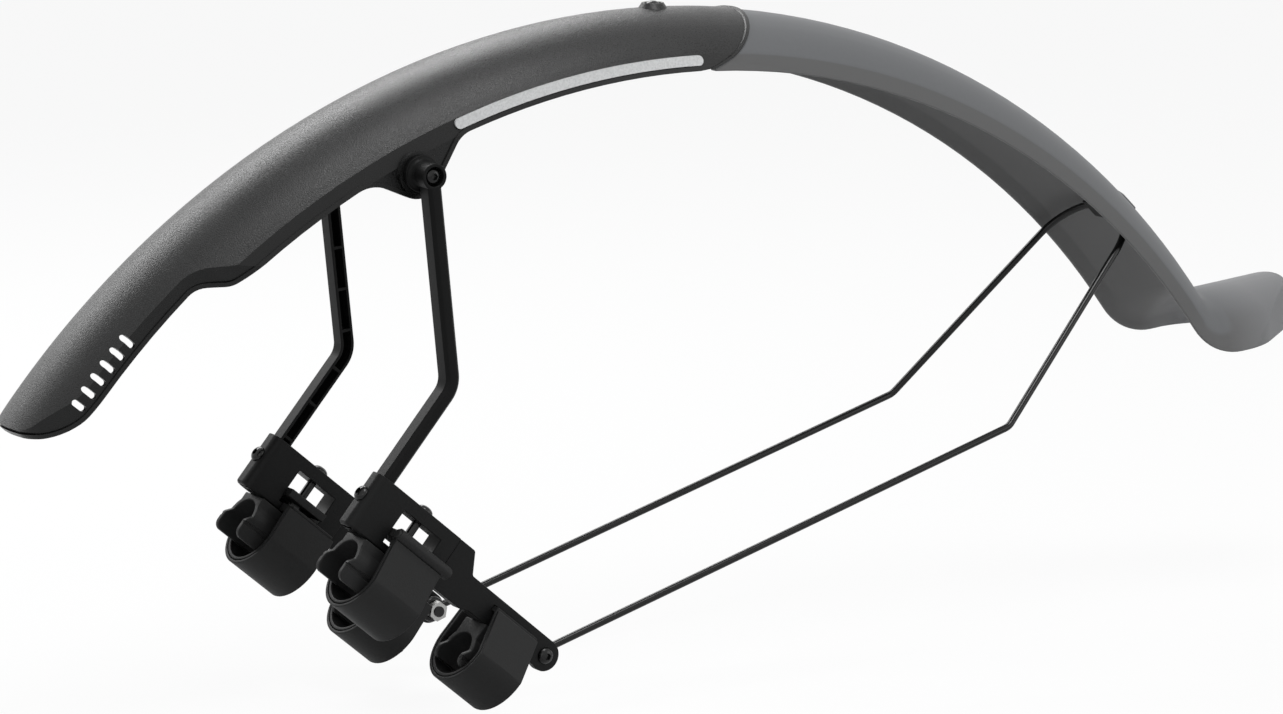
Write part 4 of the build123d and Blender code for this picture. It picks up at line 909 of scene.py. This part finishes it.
@dataclass
class Rounding:
    """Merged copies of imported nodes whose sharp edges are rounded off, as moulded edges are."""

    nodes: dict[str, bpy.types.Object]
    record: dict
    shop: MaterialShop
    segments: int = 2
    sharp: float = math.radians(38.0)
    flat: float = math.radians(0.4)
    merge: float = 2e-6

    def round_off(self, node: str, width: float) -> bpy.types.Object:
        """Make a rounded piece that stands for a node.

        Args:
            node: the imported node's name.
            width: how far the rounding reaches from an edge, in metres.

        Returns:
            The piece, dressed and riding on the node's body.
        """
        build = bmesh.new()
        build.from_mesh(self.nodes[node].data)
        bmesh.ops.remove_doubles(build, verts=build.verts, dist=self.merge)
        cut = SHORTER.get(node.rsplit("_", 1)[0], 0.0)
        along = [vertex.co.dot(ALONG_STAY) for vertex in build.verts]
        back, front = max(along), min(along)
        for vertex, spot in zip(build.verts, along):
            vertex.co += ALONG_STAY * cut * (back - spot) / (back - front)
        bmesh.ops.dissolve_limit(build, angle_limit=self.flat, verts=build.verts, edges=build.edges)
        edges = [edge for edge in build.edges
                 if edge.is_manifold and edge.calc_face_angle_signed(0.0) > self.sharp]
        bmesh.ops.bevel(build, geom=edges, offset=width, offset_type="OFFSET", segments=self.segments,
                        profile=0.5, affect="EDGES", clamp_overlap=False)
        bmesh.ops.triangulate(build, faces=[face for face in build.faces if len(face.verts) > 4])
        mesh = bpy.data.meshes.new(f"{node}_moulded")
        build.to_mesh(mesh)
        build.free()
        for attribute in [item.name for item in mesh.attributes if item.name == "custom_normal"]:
            mesh.attributes.remove(mesh.attributes[attribute])
        mesh.shade_smooth()
        piece = bpy.data.objects.new(f"{node}_moulded", mesh)
        bpy.context.scene.collection.objects.link(piece)
        mesh.materials.clear()
        mesh.materials.append(self.shop.get(finish_of(node)))
        even = piece.modifiers.new("even_normals", "WEIGHTED_NORMAL")
        even.keep_sharp = True
        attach(piece, self.nodes[node]["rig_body"])
        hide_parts(node)
        LOG.info("%s rounded: %d faces", node, len(mesh.polygons))
        return piece


@dataclass(frozen=True)
class SoftBox:
    """One soft light: the place that it faces, the way from there to it, its size in metres and its watts."""

    name: str
    target: tuple[float, float, float]
    away: tuple[float, float, float]
    size: tuple[float, float]
    power: float


BLADE_MIDDLE = (-0.02, 0.0, 0.17)
BRACKETS_MIDDLE = (-0.05, 0.0, 0.0)
EXTENSION_MIDDLE = (0.4, 0.0, 0.1)

SOFT_BOXES: tuple[SoftBox, ...] = (
    SoftBox("back_softbox", BLADE_MIDDLE, (0.24, 1.12, 0.92), (1.10, 0.36), 11.0),
    SoftBox("top_softbox", BLADE_MIDDLE, (0.14, -0.50, 1.20), (0.5, 0.6), 9.0),
    SoftBox("left_softbox", BRACKETS_MIDDLE, (-0.40, 1.33, 0.85), (0.7, 0.6), 4.5),
    SoftBox("front_softbox", BLADE_MIDDLE, (-1.5, -1.9, 0.7), (1.2, 1.2), 2.4),
    SoftBox("rear_fill", EXTENSION_MIDDLE, (1.3, -1.6, 0.5), (1.2, 1.2), 6.0),
)


@dataclass
class Studio:
    """Camera at the photograph's viewpoint, soft lights, white surroundings and a pale floor.

    The camera sees the floor white for the share floor_glow, and the rest keeps the part's shadow.
    """

    surround: tuple[float, float, float] = (0.62, 0.63, 0.64)
    surround_level: float = 0.6
    floor_colour: tuple[float, float, float] = (0.8, 0.8, 0.8)
    floor_roughness: float = 0.9
    floor_drop: float = 0.012
    floor_size: float = 6.0
    floor_glow: float = 0.9
    view_end: float = 50.0

    def camera(self) -> None:
        """Place the camera where the photograph was taken from."""
        lens = bpy.data.cameras.new("camera")
        lens.sensor_width = SENSOR_WIDTH
        lens.lens = FOCAL_PIXELS / PHOTO_WIDTH * SENSOR_WIDTH
        lens.clip_end = self.view_end
        eye = bpy.data.objects.new("camera", lens)
        flat = math.cos(CAMERA_ELEVATION)
        across = -math.sin(CAMERA_AZIMUTH) * flat
        ahead = math.cos(CAMERA_AZIMUTH) * flat
        gaze = Vector((across, ahead, -math.sin(CAMERA_ELEVATION)))
        eye.location = CAMERA_AT
        eye.rotation_euler = gaze.to_track_quat("-Z", "Y").to_euler()
        bpy.context.scene.collection.objects.link(eye)
        bpy.context.scene.camera = eye

    def light(self, box: SoftBox) -> None:
        """Add a soft light that faces a place on the part.

        Args:
            box: the light.
        """
        lamp = bpy.data.lights.new(box.name, "AREA")
        lamp.shape = "RECTANGLE"
        lamp.size, lamp.size_y = box.size
        lamp.energy = box.power
        holder = bpy.data.objects.new(box.name, lamp)
        away = Vector(box.away)
        holder.location = Vector(box.target) + away
        holder.rotation_euler = (-away).to_track_quat("-Z", "Y").to_euler()
        bpy.context.scene.collection.objects.link(holder)

    def world(self) -> None:
        """White for the camera and for reflections, and a plain grey level for the light on the object."""
        world = bpy.data.worlds.new("studio")
        bpy.context.scene.world = world
        world.use_nodes = True
        nodes, links = world.node_tree.nodes, world.node_tree.links
        nodes.clear()
        path = nodes.new("ShaderNodeLightPath")
        white = nodes.new("ShaderNodeBackground")
        white.inputs["Color"].default_value = (1.0, 1.0, 1.0, 1.0)
        dim = nodes.new("ShaderNodeBackground")
        dim.inputs["Color"].default_value = (*self.surround, 1.0)
        dim.inputs["Strength"].default_value = self.surround_level
        mix = nodes.new("ShaderNodeMixShader")
        end = nodes.new("ShaderNodeOutputWorld")
        seen = nodes.new("ShaderNodeMath")
        seen.operation = "MAXIMUM"
        seen_or_mirrored = nodes.new("ShaderNodeMath")
        seen_or_mirrored.operation = "MAXIMUM"
        links.new(path.outputs["Is Camera Ray"], seen.inputs[0])
        links.new(path.outputs["Is Transmission Ray"], seen.inputs[1])
        links.new(path.outputs["Is Glossy Ray"], seen_or_mirrored.inputs[0])
        links.new(seen.outputs[0], seen_or_mirrored.inputs[1])
        links.new(seen_or_mirrored.outputs[0], mix.inputs["Fac"])
        links.new(dim.outputs[0], mix.inputs[1])
        links.new(white.outputs[0], mix.inputs[2])
        links.new(mix.outputs[0], end.inputs["Surface"])

    def floor(self, low: float) -> None:
        """Lay a pale floor below the part.

        Args:
            low: the part's lowest height.
        """
        mesh = bpy.data.meshes.new("floor")
        half = self.floor_size / 2
        height = low - self.floor_drop
        corners = [(-half, -half, height), (half, -half, height), (half, half, height), (-half, half, height)]
        mesh.from_pydata(corners, [], [(0, 1, 2, 3)])
        floor = bpy.data.objects.new("floor", mesh)
        bpy.context.scene.collection.objects.link(floor)
        material = bpy.data.materials.new("floor_white")
        material.use_nodes = True
        nodes, links = material.node_tree.nodes, material.node_tree.links
        shader = nodes["Principled BSDF"]
        shader.inputs["Base Color"].default_value = (*self.floor_colour, 1.0)
        shader.inputs["Roughness"].default_value = self.floor_roughness
        glow = nodes.new("ShaderNodeEmission")
        glow.inputs["Color"].default_value = (1.0, 1.0, 1.0, 1.0)
        path = nodes.new("ShaderNodeLightPath")
        mix = nodes.new("ShaderNodeMixShader")
        share = nodes.new("ShaderNodeMath")
        share.operation = "MULTIPLY"
        share.inputs[1].default_value = self.floor_glow
        links.new(path.outputs["Is Camera Ray"], share.inputs[0])
        links.new(share.outputs[0], mix.inputs["Fac"])
        links.new(shader.outputs[0], mix.inputs[1])
        links.new(glow.outputs[0], mix.inputs[2])
        links.new(mix.outputs[0], nodes["Material Output"].inputs["Surface"])
        mesh.materials.append(material)
        floor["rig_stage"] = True

    def build(self, low: float) -> None:
        """Set up everything around the part.

        Args:
            low: the part's lowest height.
        """
        bpy.context.scene.view_settings.view_transform = "Standard"
        self.camera()
        self.world()
        for box in SOFT_BOXES:
            self.light(box)
        self.floor(low)


def main() -> None:
    """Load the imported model, dress it, and set the studio around it."""
    logging.basicConfig(level=logging.INFO, format="%(message)s")
    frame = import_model()
    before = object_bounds()
    shop = MaterialShop()
    for name, node in frame["nodes"].items():
        material = shop.get(finish_of(name))
        node.data.materials.clear()
        node.data.materials.append(material)
        LOG.info("%s wears %s", name, material.name)
    rounding = Rounding(frame["nodes"], frame["record"], shop)
    for name, width in EDGE_WIDTHS.items():
        for side in ("left", "right"):
            rounding.round_off(f"{name}_{side}", width)
    rounding.round_off("rear_extension", EXTENSION_EDGE)
    Screws(frame["nodes"], shop).make()
    StayWire(shop).make()
    Studio().build(before[0][2])


if __name__ == "__main__":
    main()
